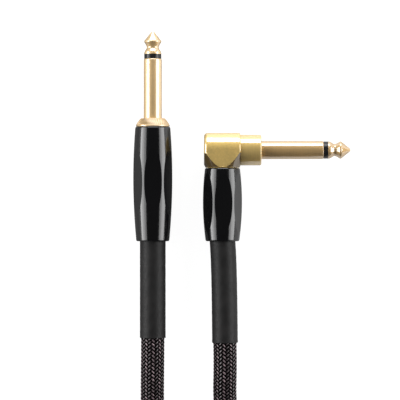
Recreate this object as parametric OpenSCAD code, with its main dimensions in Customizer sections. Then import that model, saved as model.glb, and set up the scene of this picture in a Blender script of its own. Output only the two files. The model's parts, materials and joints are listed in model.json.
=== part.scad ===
// Woven instrument cable with a straight plug and a right-angle plug, lying flat.
// +Z up, +Y from the cable towards the straight plug's tip, +X along the angle plug's shaft.
// The origin is under the middle of the two plugs, on the surface that they lie on.

/* [Plug shaft, 6.35 mm standard] */
// Diameter of the sleeve contact and of the plug
sleeve_d = 6.35; // [6.25:0.01:6.4]
// Length of the straight plug's sleeve in front of its shoulder
straight_sleeve_l = 20.9; // [19:0.1:23]
// Length of the angle plug's sleeve in front of its collar
angle_sleeve_l = 21.8; // [19:0.1:23]
// Length of the black ring between tip and sleeve
ring_l = 1.54; // [1.2:0.01:2]
// How much smaller the black ring and the tip are than the sleeve, in diameter
ring_step = 0.25; // [0.05:0.05:0.5]
// Length of the tip contact
tip_l = 7.9; // [7:0.05:8.5]
// Diameter of the tip's waist, where the jack's spring latches
waist_d = 4.2; // [3.2:0.1:4.4]
// Diameter of the rod that carries the tip back to its terminal
rod_d = 2.4; // [2:0.1:2.8]
// Bore of the sleeve
sleeve_bore_d = 3.8; // [3.4:0.1:4.2]
// Diameter of the sleeve's neck in the shoulder or collar
neck_d = 5.2; // [4.8:0.1:5.6]

/* [Straight plug] */
// Length of the straight plug's barrel
straight_barrel_l = 40; // [34:1:50]
// Place of the barrel's widest point, from its rear
straight_widest_s = 22.1; // [14:0.1:28]
// Radius of the barrel's lengthwise bulge
straight_bulge_r = 230; // [180:10:400]
// Radius of the wheel that grinds the lens facets
straight_wheel_r = 160; // [130:10:240]
// Turn of the front facet from upright
straight_turn = 2; // [0:0.5:12]
// Visible length of the fluted shoulder ring
shoulder_l = 2.9; // [2:0.1:4]
// Radius of the shoulder ring at its base
shoulder_base_r = 5.9; // [5.6:0.05:6.2]
// Radius of the shoulder ring at its front
shoulder_front_r = 4.2; // [3.9:0.05:4.8]
// Number of slanting flutes round the shoulder ring
flutes = 44; // [24:1:48]
// Depth of a flute
flute_depth = 0.22; // [0.1:0.02:0.3]
// Visible length of the straight plug's boot
straight_boot_l = 33.75; // [25:0.25:45]

/* [Angle plug] */
// Length of the angle plug's barrel
angle_barrel_l = 25.6; // [23:0.1:32]
// Place of the barrel's widest point, from its rear
angle_widest_s = 13.7; // [10:0.1:18]
// Radius of the barrel's lengthwise bulge
angle_bulge_r = 100; // [80:5:200]
// Radius of the wheel that grinds the lens facets
angle_wheel_r = 300; // [220:10:320]
// Turn of the front facet from upright
angle_turn = 3; // [0:0.5:12]
// Height of the shaft's axis over the barrel's front face
head_rise = 6.3; // [6.2:0.1:8]
// Radius of the arch over the head
arch_r = 6.0; // [5.8:0.05:6.4]
// Half-width of the head on the shaft's side
head_front = 6.2; // [5.9:0.05:7]
// Half-width of the head on the closed side
head_back = 6.45; // [5.9:0.05:7]
// Radius of the head's round foot
head_foot_r = 5.95; // [5.7:0.05:6.2]
// Slant of the cone that trims the head's corners
cone_angle = 24.5; // [15:0.5:35]
// Radius of the collar between head and shaft
collar_r = 5.37; // [5:0.01:5.8]
// Length of the collar
collar_l = 7.35; // [5:0.05:10]
// Visible length of the angle plug's boot
angle_boot_l = 35.5; // [25:0.5:45]
// Lean of the angle plug's boot and cable
boot_lean = 1.3; // [0.5:0.05:2]

/* [Barrels] */
// Largest radius of both barrels
barrel_r = 6.83; // [6.7:0.01:7.2]
// Distance from the axis to the middle of a facet
facet_r = 6.1; // [6:0.01:6.4]
// Number of lens facets round each barrel
facets = 6; // [6:1:8]
// Rounding of the barrel's two ends
barrel_edge = 0.45; // [0.2:0.05:0.6]
// Radius of the screw thread
thread_r = 5; // [4.8:0.05:5.2]
// Length of the thread on the plug's spigot
thread_l = 6; // [4:0.5:6]
// Length of the collar of the barrel round the boot
rear_wall_l = 3; // [2:0.1:4]
// Wall of the insulating liner in the barrel
liner_wall = 0.3; // [0.2:0.05:0.4]

/* [Cable] */
// Diameter of the woven cable
cord_d = 8.2; // [8:0.05:8.3]
// Wall of the shrunk-on boot
boot_wall = 0.38; // [0.2:0.02:0.5]
// Diameter of the cable's insulated centre conductor
core_d = 3; // [2.4:0.1:3.4]
// Distance between the two plugs' axes
plug_spacing = 24.4; // [20:0.1:40]
// Length of the hank's straight runs
hank_run = 146; // [123:1:164]
// Width of the tie round the hank
tie_w = 16; // [10:1:25]
// Thickness of the tie
tie_t = 1.2; // [0.8:0.1:2]

/* [Fits] */
// Radial clearance of parts that turn or slide on each other
run_gap = 0.05; // [0.02:0.01:0.08]
// Radial clearance of parts pressed or riveted together
fit_gap = 0.02; // [0.01:0.01:0.05]
// Gap between a barrel's front face and the part that it screws up to
face_gap = 0.1; // [0.05:0.01:0.3]
// Thickness of the terminals' sheet brass
sheet = 0.4; // [0.3:0.05:0.5]

/* [Hidden] */

$fn = 96;
gold = [0.80, 0.66, 0.40];
black = [0.05, 0.05, 0.05];

sleeve_r = sleeve_d / 2;
ring_r = sleeve_r - ring_step / 2;
rod_r = rod_d / 2;
sleeve_bore_r = sleeve_bore_d / 2;
neck_r = neck_d / 2;
tube_r = sleeve_bore_r - fit_gap;
cord_r = cord_d / 2;
core_r = core_d / 2;
boot_bore_r = cord_r + fit_gap;
boot_r = boot_bore_r + boot_wall;
barrel_bore_r = thread_r + 0.35;
liner_r = barrel_bore_r - run_gap;
liner_bore_r = liner_r - liner_wall;
rear_hole_r = boot_r + 0.4;

// stations along each plug's own axis, from the rear of its barrel, positive to the front
straight_seat = straight_barrel_l + face_gap;
straight_front = straight_seat + shoulder_l;
angle_seat = angle_barrel_l + face_gap;
shaft_s = angle_seat + head_rise - face_gap;

// stations along each shaft, from its own shoulder, positive to the tip
stack_depth = 2 * sheet + 2;    // ground plate, insulating washer and tip terminal
washer_l = stack_depth - 2 * sheet;
spigot_r = 2;                   // length of the black ring's spigot in the sleeve
straight_neck_l = shoulder_l + face_gap + 4;
angle_neck_l = collar_l + head_front - 4;

// where the barrel's profile meets the grinding wheel, found by halving the interval
function bulge(s, widest, arc) = barrel_r - arc + sqrt(arc * arc - (s - widest) * (s - widest));
function ground(s, middle, wheel) = facet_r + wheel - sqrt(wheel * wheel - (s - middle) * (s - middle));
function lens_end(low, high, widest, arc, middle, wheel, steps = 30) =
    let (s = (low + high) / 2)
    steps == 0 ? s
    : bulge(s, widest, arc) > ground(s, middle, wheel)
        ? lens_end(s, high, widest, arc, middle, wheel, steps - 1)
        : lens_end(low, s, widest, arc, middle, wheel, steps - 1);
// a barrel lies on the front end of its lowest facet
function lying_r(length, widest, arc, wheel) =
    let (s = lens_end(length / 2, length - barrel_edge, widest, arc, length / 2, wheel))
    bulge(s, widest, arc);
straight_z = lying_r(straight_barrel_l, straight_widest_s, straight_bulge_r, straight_wheel_r);
angle_z = lying_r(angle_barrel_l, angle_widest_s, angle_bulge_r, angle_wheel_r);

// plan of the two plugs, centred on the origin; both barrels end on one line
shaft_reach = head_front + collar_l + angle_sleeve_l + ring_l + tip_l;
straight_reach = straight_front + straight_sleeve_l + ring_l + tip_l;
plan_w = barrel_r + plug_spacing + shaft_reach;
lean_pivot = 2;
plan_l = straight_reach + angle_boot_l * cos(boot_lean) + lean_pivot * (1 - cos(boot_lean))
    + boot_r * sin(boot_lean);
straight_x = -plan_w / 2 + barrel_r;
angle_x = straight_x + plug_spacing;
rear_y = plan_l / 2 - straight_reach;

// routes of the two leads from boot to hank, as chosen points: sideways and along from the boot's
// end, and how far each has sunk from the boot's axis, 0, to the floor, 1
straight_route = [[0, 0, 0], [-0.05, -7, 0], [-0.15, -15, 0.35], [-0.2, -23, 0.85], [0.1, -32, 1],
    [1.1, -41, 1], [2.9, -50, 1], [4.8, -59, 1], [6.6, -67.45, 1]];
angle_route = [[0, 0, 0], [0.1, -6, 0], [0.05, -13, 0.35], [0, -20, 0.85], [2, -31.5, 1],
    [8, -42, 1], [19.5, -50.5, 1], [30.5, -59.5, 1], [36.5, -70, 1], [38.6, -81.95, 1]];

// hank of turns, centred on X = 0
hank_inner_r = 3 * cord_d;
hank_outer_r = hank_inner_r + cord_d;
hank_near_y = -120;
hank_far_y = hank_near_y - hank_run;
hank_h = cord_r + 2 * cord_d + cord_d * cos(30) + cord_r;
tie_y = -185;

module along_y(x, z) { translate([x, rear_y, z]) rotate([-90, 0, 0]) children(); }
module straight() { along_y(straight_x, straight_z) children(); }
module angle() { along_y(angle_x, angle_z) children(); }
module straight_shaft() { straight() translate([0, 0, straight_front]) children(); }
module angle_shaft() {
    angle() translate([head_front + collar_l, 0, shaft_s]) rotate([0, 90, 0]) children();
}
// the leaning line of the angle plug's cable, from the same station as the barrel's rear
module leaning() {
    translate([0, 0, lean_pivot]) rotate([0, -boot_lean, 0]) translate([0, 0, -lean_pivot]) children();
}
module pipe(r, bore, low, high) {
    translate([0, 0, low]) difference() {
        cylinder(r = r, h = high - low);
        translate([0, 0, -1]) cylinder(r = bore, h = high - low + 2);
    }
}
module rod(r, low, high) { translate([0, 0, low]) cylinder(r = r, h = high - low); }

// points of an arc between two angles, for outlines
function arc(x, y, r, from, to, steps) =
    [for (i = [0:steps]) let (a = from + (to - from) * i / steps) [x + r * cos(a), y + r * sin(a)]];

/* ---- contacts and insulators, the same on both shafts ---- */

// tip: band, flare to the waist, rounded crown, 39 degree cone and blunt nose, then the long rod
module tip(sleeve_l, rear) {
    crown_s = tip_l * 0.565;
    nose_r = 0.8;
    cone_s = tip_l - nose_r;
    base = sleeve_l + ring_l;
    waist_r = waist_d / 2;
    translate([0, 0, base]) rotate_extrude() polygon(concat(
        [[0, 0], [ring_r, 0], [ring_r, 0.5]],
        [for (i = [0:8]) let (t = i / 8)
            [waist_r + (ring_r - 0.12 - waist_r) * (1 - t * t * (3 - 2 * t)), 0.6 + (crown_s - 2.7) * t]],
        [for (i = [1:5]) let (t = i / 5)
            [waist_r + (ring_r - 0.1 - waist_r) * pow(t, 1.5), crown_s - 2.1 + 1.7 * t]],
        arc(ring_r - 0.45, crown_s, 0.45, 0, 39, 4),
        arc(0, cone_s, nose_r, 39, 90, 6)));
    rod(rod_r, rear, base + 1);
    rod(rod_r + 0.5, rear, rear + 0.3);
}
module tip_insulator(sleeve_l) {
    pipe(ring_r - 0.03, rod_r + fit_gap, sleeve_l, sleeve_l + ring_l);
    pipe(tube_r, rod_r + fit_gap, sleeve_l - spigot_r, sleeve_l + ring_l);
}
module rod_insulator(sleeve_l, neck_l) {
    pipe(tube_r, rod_r + fit_gap, -neck_l, sleeve_l - spigot_r);
}
module sleeve(sleeve_l, neck_l) {
    chamfer = 0.25;
    difference() {
        union() {
            rod(sleeve_r, 0, sleeve_l - chamfer);
            translate([0, 0, sleeve_l - chamfer])
                cylinder(r1 = sleeve_r, r2 = sleeve_r - chamfer, h = chamfer);
            rod(neck_r, -neck_l, 1);
        }
        rod(sleeve_bore_r, -neck_l - 1, sleeve_l + 1);
    }
}
module rear_washer(neck_l) {
    pipe(rod_r + 1.4, rod_r + fit_gap, -neck_l - sheet - washer_l, -neck_l - sheet);
}
// riveted disc with a drilled solder lug that points to the cable
module tip_terminal(neck_l, lug_l) {
    disc_r = rod_r + 1.1;
    rear = -neck_l - stack_depth;
    pipe(disc_r, rod_r + fit_gap, rear, rear + sheet);
    difference() {
        translate([-disc_r, -1.1, rear - lug_l]) cube([sheet, 2.2, lug_l + sheet]);
        translate([-disc_r - 1, 0, rear - lug_l + 1.3]) rotate([0, 90, 0]) cylinder(r = 0.5, h = 3);
    }
}

/* ---- barrels and boots ---- */

// bulged shell with lens facets ground round it
module faceted_barrel(length, widest, arc_r, wheel, turn) {
    ends = 7;
    difference() {
        rotate_extrude() polygon(concat(
            [[0, 0]],
            arc(bulge(barrel_edge, widest, arc_r) - barrel_edge, barrel_edge, barrel_edge, -90, 0, 3),
            [for (i = [1:17]) let (s = barrel_edge + (length - 2 * barrel_edge) * i / 18)
                [bulge(s, widest, arc_r), s]],
            arc(bulge(length - barrel_edge, widest, arc_r) - barrel_edge, length - barrel_edge,
                barrel_edge, 0, 90, 3),
            [[0, length]]));
        for (k = [0:facets - 1])
            rotate([0, 0, turn - 90 + k * 360 / facets])
                translate([facet_r + wheel, -ends, length / 2])
                    rotate([-90, 0, 0]) cylinder(r = wheel, h = 2 * ends, $fn = 720);
        rod(rear_hole_r, -1, rear_wall_l + 1);
        rod(barrel_bore_r, rear_wall_l, length - thread_l - 0.5);
        rod(thread_r + run_gap, length - thread_l - 1, length + 1);
    }
}
module liner(length) {
    pipe(liner_r, liner_bore_r, rear_wall_l + 0.3, length - thread_l - 2.5);
}
module boot(visible, inside) { pipe(boot_r, boot_bore_r, -visible, inside); }

/* ---- cable ends inside the plugs ---- */

conductor_r = 0.45;
bare_l = 4.1;                   // bare length of the centre conductor
tail_r = 0.8;                   // radius of the twisted shield

module cable_jacket(visible, inside) { pipe(cord_r, core_r + fit_gap, -visible, inside); }
module cable_core(visible, insulation_end) {
    rod(core_r, -visible, insulation_end);
    rod(conductor_r, insulation_end - 1, insulation_end + bare_l);
}
// solder on the bare conductor's end
module joint_blob(s) { translate([0, 0, s]) cylinder(r1 = 2 * conductor_r, r2 = 1.3 * conductor_r, h = 1); }
// solder that holds the twisted shield's end, behind it
module tail_blob(s) {
    translate([core_r + 1.2, 0, s]) cylinder(r1 = tail_r + 0.3, r2 = tail_r - 0.1, h = 1.2);
}
module shield_tail(jacket_end, length) {
    translate([core_r + 1.2, 0, jacket_end]) cylinder(r = tail_r, h = length);
}
// crimp wings round the jacket
module wings(low, high) {
    difference() {
        pipe(cord_r + fit_gap + sheet, cord_r + fit_gap, low, high);
        translate([-8, -1.5, low - 1]) cube([8, 3, high - low + 2]);
    }
}

/* ---- straight plug ---- */

straight_stack = straight_front - straight_neck_l;    // front face of the ground plate
straight_jacket_end = 15;
straight_tail_l = 5;
straight_core_end = straight_stack - 9.4 - bare_l;
straight_lug_l = 6;
straight_clamp = [straight_jacket_end - 6, straight_jacket_end - 1];    // stations of the crimp wings
module straight_tip() {
    color(gold) straight_shaft()
        tip(straight_sleeve_l, -straight_neck_l - stack_depth - 0.3);
}
module straight_tip_insulator() { color(black) straight_shaft() tip_insulator(straight_sleeve_l); }
module straight_rod_insulator() {
    color("ivory") straight_shaft() rod_insulator(straight_sleeve_l, straight_neck_l);
}
module straight_sleeve() { color(gold) straight_shaft() sleeve(straight_sleeve_l, straight_neck_l); }
// domed ring with slanting flutes, and the threaded spigot behind it; a V cutter laid along the
// dome's tangent cuts each flute, so that a flute is deepest in its middle and runs out at its ends
shoulder_rim_l = 0.45;
flute_mid = 0.5;                // place on the dome, from 0 at its base to 1 at its front
flute_slant = -31;
dome_fall = shoulder_base_r - shoulder_front_r;
function dome_r(u) = shoulder_base_r - dome_fall * u * (0.6 + 0.4 * u);
function dome_s(u) = straight_seat + shoulder_rim_l + (shoulder_l - shoulder_rim_l) * u;
dome_lean = atan(dome_fall * (0.6 + 0.8 * flute_mid) / (shoulder_l - shoulder_rim_l));
module straight_shoulder() {
    counterbore_r = thread_r - 1;
    color(gold) straight() difference() {
        union() {
            rotate_extrude() polygon(concat(
                [[0, straight_seat], [shoulder_base_r, straight_seat],
                 [shoulder_base_r, straight_seat + shoulder_rim_l]],
                [for (i = [1:8]) [dome_r(i / 8), dome_s(i / 8)]],
                [[0, straight_front]]));
            rod(thread_r, straight_seat - thread_l - face_gap, straight_seat + shoulder_rim_l);
        }
        rod(neck_r + fit_gap, straight_stack, straight_front + 1);
        rod(counterbore_r, straight_seat - thread_l - 1, straight_stack);
        for (k = [0:flutes - 1]) rotate([0, 0, k * 360 / flutes])
            translate([dome_r(flute_mid) - flute_depth, 0, dome_s(flute_mid)])
                rotate([0, -dome_lean, 0]) rotate([flute_slant, 0, 0])
                    linear_extrude(2 * shoulder_l, center = true)
                        polygon([[0, 0], [1, 0.8], [1, -0.8]]);
    }
}
module straight_rear_washer() { color("tan") straight_shaft() rear_washer(straight_neck_l); }
module straight_tip_terminal() {
    color(gold) straight_shaft() tip_terminal(straight_neck_l, straight_lug_l);
}
// ring plate, bent strip and crimp wings in one sheet of brass
module straight_ground_clamp() {
    plate_r = rod_r + 2.4;
    strip_x = plate_r - 0.8;
    out = cord_r + fit_gap + sheet;
    foot = straight_clamp[1] - 1;
    top = straight_stack;
    color(gold) straight() {
        pipe(plate_r, tube_r + 0.1, top - sheet, top);
        rotate([90, 0, 0]) translate([0, 0, -1.5]) linear_extrude(3) polygon([
            [strip_x - 0.1, top], [strip_x + sheet, top], [strip_x + sheet, top - 5], [out, top - 9],
            [out, foot], [out - sheet, foot], [out - sheet, top - 9.2], [strip_x, top - 5.2],
            [strip_x, top - sheet], [strip_x - 0.1, top - sheet]]);
        wings(straight_clamp[0], straight_clamp[1]);
    }
}
module straight_liner() { color("lightgrey") straight() liner(straight_barrel_l); }
module straight_barrel() {
    color(black) straight() faceted_barrel(straight_barrel_l, straight_widest_s, straight_bulge_r,
        straight_wheel_r, straight_turn);
}
module straight_boot() { color("dimgrey") straight() boot(straight_boot_l, 7); }
module straight_cable_jacket() {
    color("rosybrown") straight() cable_jacket(straight_boot_l, straight_jacket_end);
}
module straight_cable_core() {
    color("white") straight()
        cable_core(straight_boot_l, straight_core_end);
}
module straight_shield_tail() {
    color("silver") straight() shield_tail(straight_jacket_end, straight_tail_l);
}
module straight_solder() {
    color("silver") straight() {
        tail_blob(straight_jacket_end + straight_tail_l);
        joint_blob(straight_core_end + bare_l);
    }
}

/* ---- angle plug ---- */

angle_jacket_end = 10.5;
angle_tail_l = 3;
angle_core_end = shaft_s - 7.4 - bare_l;
angle_clamp = [angle_jacket_end - 6.1, angle_jacket_end - 1.5];    // stations of the crimp wings
// arch over a square block, its corners trimmed by a cone to a round foot
module angle_head() {
    foot_s = angle_seat;
    rim_l = 0.5;
    tall = shaft_s - foot_s;
    big = head_back + arch_r;
    spread = tan(cone_angle);
    color(gold) angle() difference() {
        union() {
            intersection() {
                union() {
                    translate([-head_back, 0, shaft_s]) rotate([0, 90, 0])
                        cylinder(r = arch_r, h = head_back + head_front);
                    translate([-head_back, -arch_r, foot_s])
                        cube([head_back + head_front, 2 * arch_r, tall]);
                }
                translate([0, 0, foot_s])
                    cylinder(r1 = head_foot_r, r2 = head_foot_r + 2 * big * spread, h = 2 * big);
            }
            rod(head_foot_r + 0.1, foot_s, foot_s + rim_l);
            rod(thread_r, foot_s - face_gap - thread_l, foot_s + rim_l);
        }
        rod(thread_r - 1.1, foot_s - thread_l - 1, shaft_s);
        translate([-3.5, 0, shaft_s]) rotate([0, 90, 0])
            cylinder(r = collar_spigot_r + fit_gap, h = 3.5 + head_front + 1);
    }
}
collar_spigot_r = 4.2;
module angle_collar() {
    edge = 0.3;
    color(gold) angle_shaft() difference() {
        union() {
            rod(collar_r, -collar_l, -edge);
            translate([0, 0, -edge]) cylinder(r1 = collar_r, r2 = collar_r - edge, h = edge);
            rod(collar_spigot_r, -angle_neck_l, 1 - collar_l);
        }
        rod(neck_r + fit_gap, -angle_neck_l - 1, 1);
    }
}
module angle_tip() { color(gold) angle_shaft() tip(angle_sleeve_l, -angle_neck_l - stack_depth - 0.3); }
module angle_tip_insulator() { color(black) angle_shaft() tip_insulator(angle_sleeve_l); }
module angle_rod_insulator() {
    color("ivory") angle_shaft() rod_insulator(angle_sleeve_l, angle_neck_l);
}
module angle_sleeve() { color(gold) angle_shaft() sleeve(angle_sleeve_l, angle_neck_l); }
module angle_rear_washer() { color("tan") angle_shaft() rear_washer(angle_neck_l); }
// riveted disc whose lug turns down to the cable
module angle_tip_terminal() {
    disc_r = rod_r + 1.1;
    rear = -angle_neck_l - stack_depth;
    color(gold) angle_shaft() {
        pipe(disc_r, rod_r + fit_gap, rear, rear + sheet);
        difference() {
            translate([disc_r - 0.4, -1.1, rear]) cube([5.2, 2.2, sheet]);
            translate([disc_r + 3.6, 0, rear - 1]) cylinder(r = 0.5, h = 3);
        }
    }
}
// ring plate round the rod, bent strip down the spigot and crimp wings
module angle_ground_clamp() {
    plate_x = 4 - sheet;
    neck_x = 3;
    out = cord_r + fit_gap + sheet;
    foot = angle_clamp[1] - 1;
    mouth = angle_barrel_l - thread_l + 0.1;    // rear end of the head's spigot
    color(gold) angle() {
        translate([plate_x, 0, shaft_s]) rotate([0, 90, 0])
            pipe(rod_r + 2.3, tube_r + 0.1, 0, sheet);
        rotate([90, 0, 0]) translate([0, 0, -1.2]) linear_extrude(2.4) polygon([
            [plate_x + sheet, shaft_s - 2.3], [plate_x, shaft_s - 2.3], [plate_x, shaft_s - 3.2],
            [neck_x, shaft_s - 4.4], [neck_x, mouth - 0.1], [out - sheet, mouth - 3.1], [out - sheet, foot],
            [out, foot], [out, mouth - 2.9], [neck_x + sheet, mouth + 0.1], [neck_x + sheet, shaft_s - 4.6],
            [plate_x + sheet, shaft_s - 3.4]]);
        leaning() wings(angle_clamp[0], angle_clamp[1]);
    }
}
module angle_liner() { color("lightgrey") angle() liner(angle_barrel_l); }
module angle_barrel() {
    color(black) angle() faceted_barrel(angle_barrel_l, angle_widest_s, angle_bulge_r,
        angle_wheel_r, angle_turn);
}
module angle_boot() { color("dimgrey") angle() leaning() boot(angle_boot_l, rear_wall_l + 0.8); }
module angle_cable_jacket() {
    color("rosybrown") angle() leaning() cable_jacket(angle_boot_l, angle_jacket_end);
}
module angle_cable_core() {
    color("white") angle() leaning()
        cable_core(angle_boot_l, angle_core_end);
}
module angle_shield_tail() {
    color("silver") angle() leaning() shield_tail(angle_jacket_end, angle_tail_l);
}
module angle_solder() {
    color("silver") angle() leaning() {
        tail_blob(angle_jacket_end + angle_tail_l);
        joint_blob(angle_core_end + bare_l);
    }
}

/* ---- leads, hank and tie ---- */

sides = 8;
// a ring of points round one route point, square to the route
function unit(v) = v / norm(v);
function heading(p, i) = unit(p[min(i + 1, len(p) - 1)] - p[max(i - 1, 0)]);
function ring_at(p, i) =
    let (h = heading(p, i), side = unit(cross(h, [0, 0, 1])), up = cross(side, h))
    [for (k = [0:sides - 1]) let (a = 360 * k / sides)
        p[i] + cord_r * (side * cos(a) + up * sin(a))];
module tube(p) {
    last = len(p) - 1;
    polyhedron(
        points = [for (i = [0:last]) each ring_at(p, i)],
        faces = concat(
            [[for (k = [0:sides - 1]) k]],
            [for (i = [0:last - 1], k = [0:sides - 1]) let (a = i * sides, b = a + sides, n = (k + 1) % sides)
                [a + k, b + k, b + n, a + n]],
            [[for (k = [sides - 1:-1:0]) last * sides + k]]));
}
straight_exit = [straight_x, rear_y - straight_boot_l, straight_z];
angle_exit = [angle_x + (angle_boot_l + lean_pivot) * sin(boot_lean),
    rear_y + lean_pivot - (angle_boot_l + lean_pivot) * cos(boot_lean), angle_z];
function laid(from, route) =
    [for (p = route) [from.x + p.x, from.y + p.y, from.z + p.z * (cord_r - from.z)]];
module straight_lead() { color("rosybrown") tube(laid(straight_exit, straight_route)); }
module angle_lead() { color("rosybrown") tube(laid(angle_exit, angle_route)); }
function racetrack(r) = concat(arc(0, hank_near_y, r, 0, 180, 24), arc(0, hank_far_y, r, 180, 360, 24));
module cable_hank() {
    color("rosybrown") linear_extrude(hank_h) difference() {
        polygon(racetrack(hank_outer_r + cord_r));
        polygon(racetrack(hank_inner_r - cord_r));
    }
}
function rounded(w, h, r) = concat(arc(w - r, r, r, -90, 0, 5), arc(w - r, h - r, r, 0, 90, 5),
    arc(r, h - r, r, 90, 180, 5), arc(r, r, r, 180, 270, 5));
module cable_tie() {
    w = 2 * cord_d;
    color("dimgrey") translate([-hank_outer_r - cord_r - tie_t, tie_y + tie_w / 2, 0])
        rotate([90, 0, 0]) linear_extrude(tie_w) difference() {
            polygon(rounded(w + 2 * tie_t, hank_h + 2 * tie_t, cord_r));
            translate([tie_t, tie_t]) polygon(rounded(w, hank_h, cord_r - tie_t));
        }
}

straight_tip();
straight_tip_insulator();
straight_rod_insulator();
straight_sleeve();
straight_shoulder();
straight_rear_washer();
straight_tip_terminal();
straight_ground_clamp();
straight_liner();
straight_barrel();
straight_boot();
straight_cable_jacket();
straight_cable_core();
straight_shield_tail();
straight_solder();
angle_tip();
angle_tip_insulator();
angle_rod_insulator();
angle_sleeve();
angle_collar();
angle_head();
angle_rear_washer();
angle_tip_terminal();
angle_ground_clamp();
angle_liner();
angle_barrel();
angle_boot();
angle_cable_jacket();
angle_cable_core();
angle_shield_tail();
angle_solder();
straight_lead();
angle_lead();
cable_hank();
cable_tie();
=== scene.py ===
# %% [markdown]
# # An instrument cable, dressed
# The cable has a straight plug and a right-angle plug. Each has a gold-plated contact shaft, a
# black barrel with six ground facets and a shrunk rubber boot, and a woven cable joins them.
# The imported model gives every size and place, so nothing here is fitted by eye. This lesson makes
# each visible piece as a surface worked out with numpy, and gives it a finish made of nodes.

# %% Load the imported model
import json
import math

import bpy
import numpy as np
from mathutils import Matrix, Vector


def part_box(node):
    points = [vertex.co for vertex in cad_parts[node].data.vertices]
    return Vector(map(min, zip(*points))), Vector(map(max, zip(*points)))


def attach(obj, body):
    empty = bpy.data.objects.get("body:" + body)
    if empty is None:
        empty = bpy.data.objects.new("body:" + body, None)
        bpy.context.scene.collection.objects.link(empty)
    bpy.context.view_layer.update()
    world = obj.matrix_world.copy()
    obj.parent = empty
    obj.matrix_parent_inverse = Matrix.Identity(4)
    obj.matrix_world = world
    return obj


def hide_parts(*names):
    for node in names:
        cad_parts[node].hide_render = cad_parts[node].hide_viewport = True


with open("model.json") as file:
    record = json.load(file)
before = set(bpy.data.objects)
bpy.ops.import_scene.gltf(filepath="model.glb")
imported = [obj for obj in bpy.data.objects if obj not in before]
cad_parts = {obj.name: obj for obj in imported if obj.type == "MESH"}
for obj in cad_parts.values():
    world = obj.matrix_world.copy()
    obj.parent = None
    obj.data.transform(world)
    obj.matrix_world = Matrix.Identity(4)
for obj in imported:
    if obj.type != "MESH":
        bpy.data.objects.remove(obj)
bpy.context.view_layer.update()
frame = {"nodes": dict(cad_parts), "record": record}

MM = 0.001
ROOT = "plugs_and_cable"

# %% [markdown]
# ## Three axes
# A turned part needs only a line to turn round. Each plug has one along its barrel, and the
# right-angle plug has a second along its shaft. An axis holds its start, the direction in which
# stations along it are counted, the direction of angle zero, which is up, and the third
# direction, towards which the angle grows.


# %% The axes of barrels and shafts
def make_axis(start, along, up=(0, 0, 1)):
    """Start and three unit vectors: along, up, and along x up."""
    along, up = np.array(along, float), np.array(up, float)
    return {"start": np.array(start, float), "along": along, "up": up, "side": np.cross(along, up)}


def low(node):
    """The lowest corner of a node's box, in millimetres."""
    return np.array(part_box(node)[0]) / MM


def high(node):
    """The highest corner of a node's box, in millimetres."""
    return np.array(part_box(node)[1]) / MM


mounts = {m["name"]: m for m in frame["record"]["mounts"]}
straight_at = np.array(mounts["straight_shaft"]["pos_m"]) / MM
angle_at = np.array(mounts["angle_shaft"]["pos_m"]) / MM
rear_y = low("straight_barrel")[1]
angle_x = (low("angle_barrel")[0] + high("angle_barrel")[0]) / 2
shaft_y = angle_at[1]
shoulder_x = high("angle_collar")[0]

straight = make_axis((straight_at[0], rear_y, straight_at[2]), (0, 1, 0))
angle = make_axis((angle_x, rear_y, angle_at[2]), (0, 1, 0))
angle_shaft = make_axis((shoulder_x, shaft_y, angle_at[2]), (1, 0, 0))
straight_front = high("straight_shoulder")[1] - rear_y
straight_shaft = make_axis((straight_at[0], rear_y + straight_front, straight_at[2]), (0, 1, 0))
print("barrels' axes at x", straight["start"][0].round(3), angle["start"][0].round(3), "mm")

# %% [markdown]
# ## From a grid of points to a mesh
# Nearly every piece here is a grid: rows along the piece and columns round it. The columns always
# close into rings. The rows either close as well, which makes a pipe with a wall, or each end is
# covered by a fan of triangles. All of it is done with index arrays, so a grid of fifty thousand
# points takes no longer to write down than one of fifty.


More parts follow.
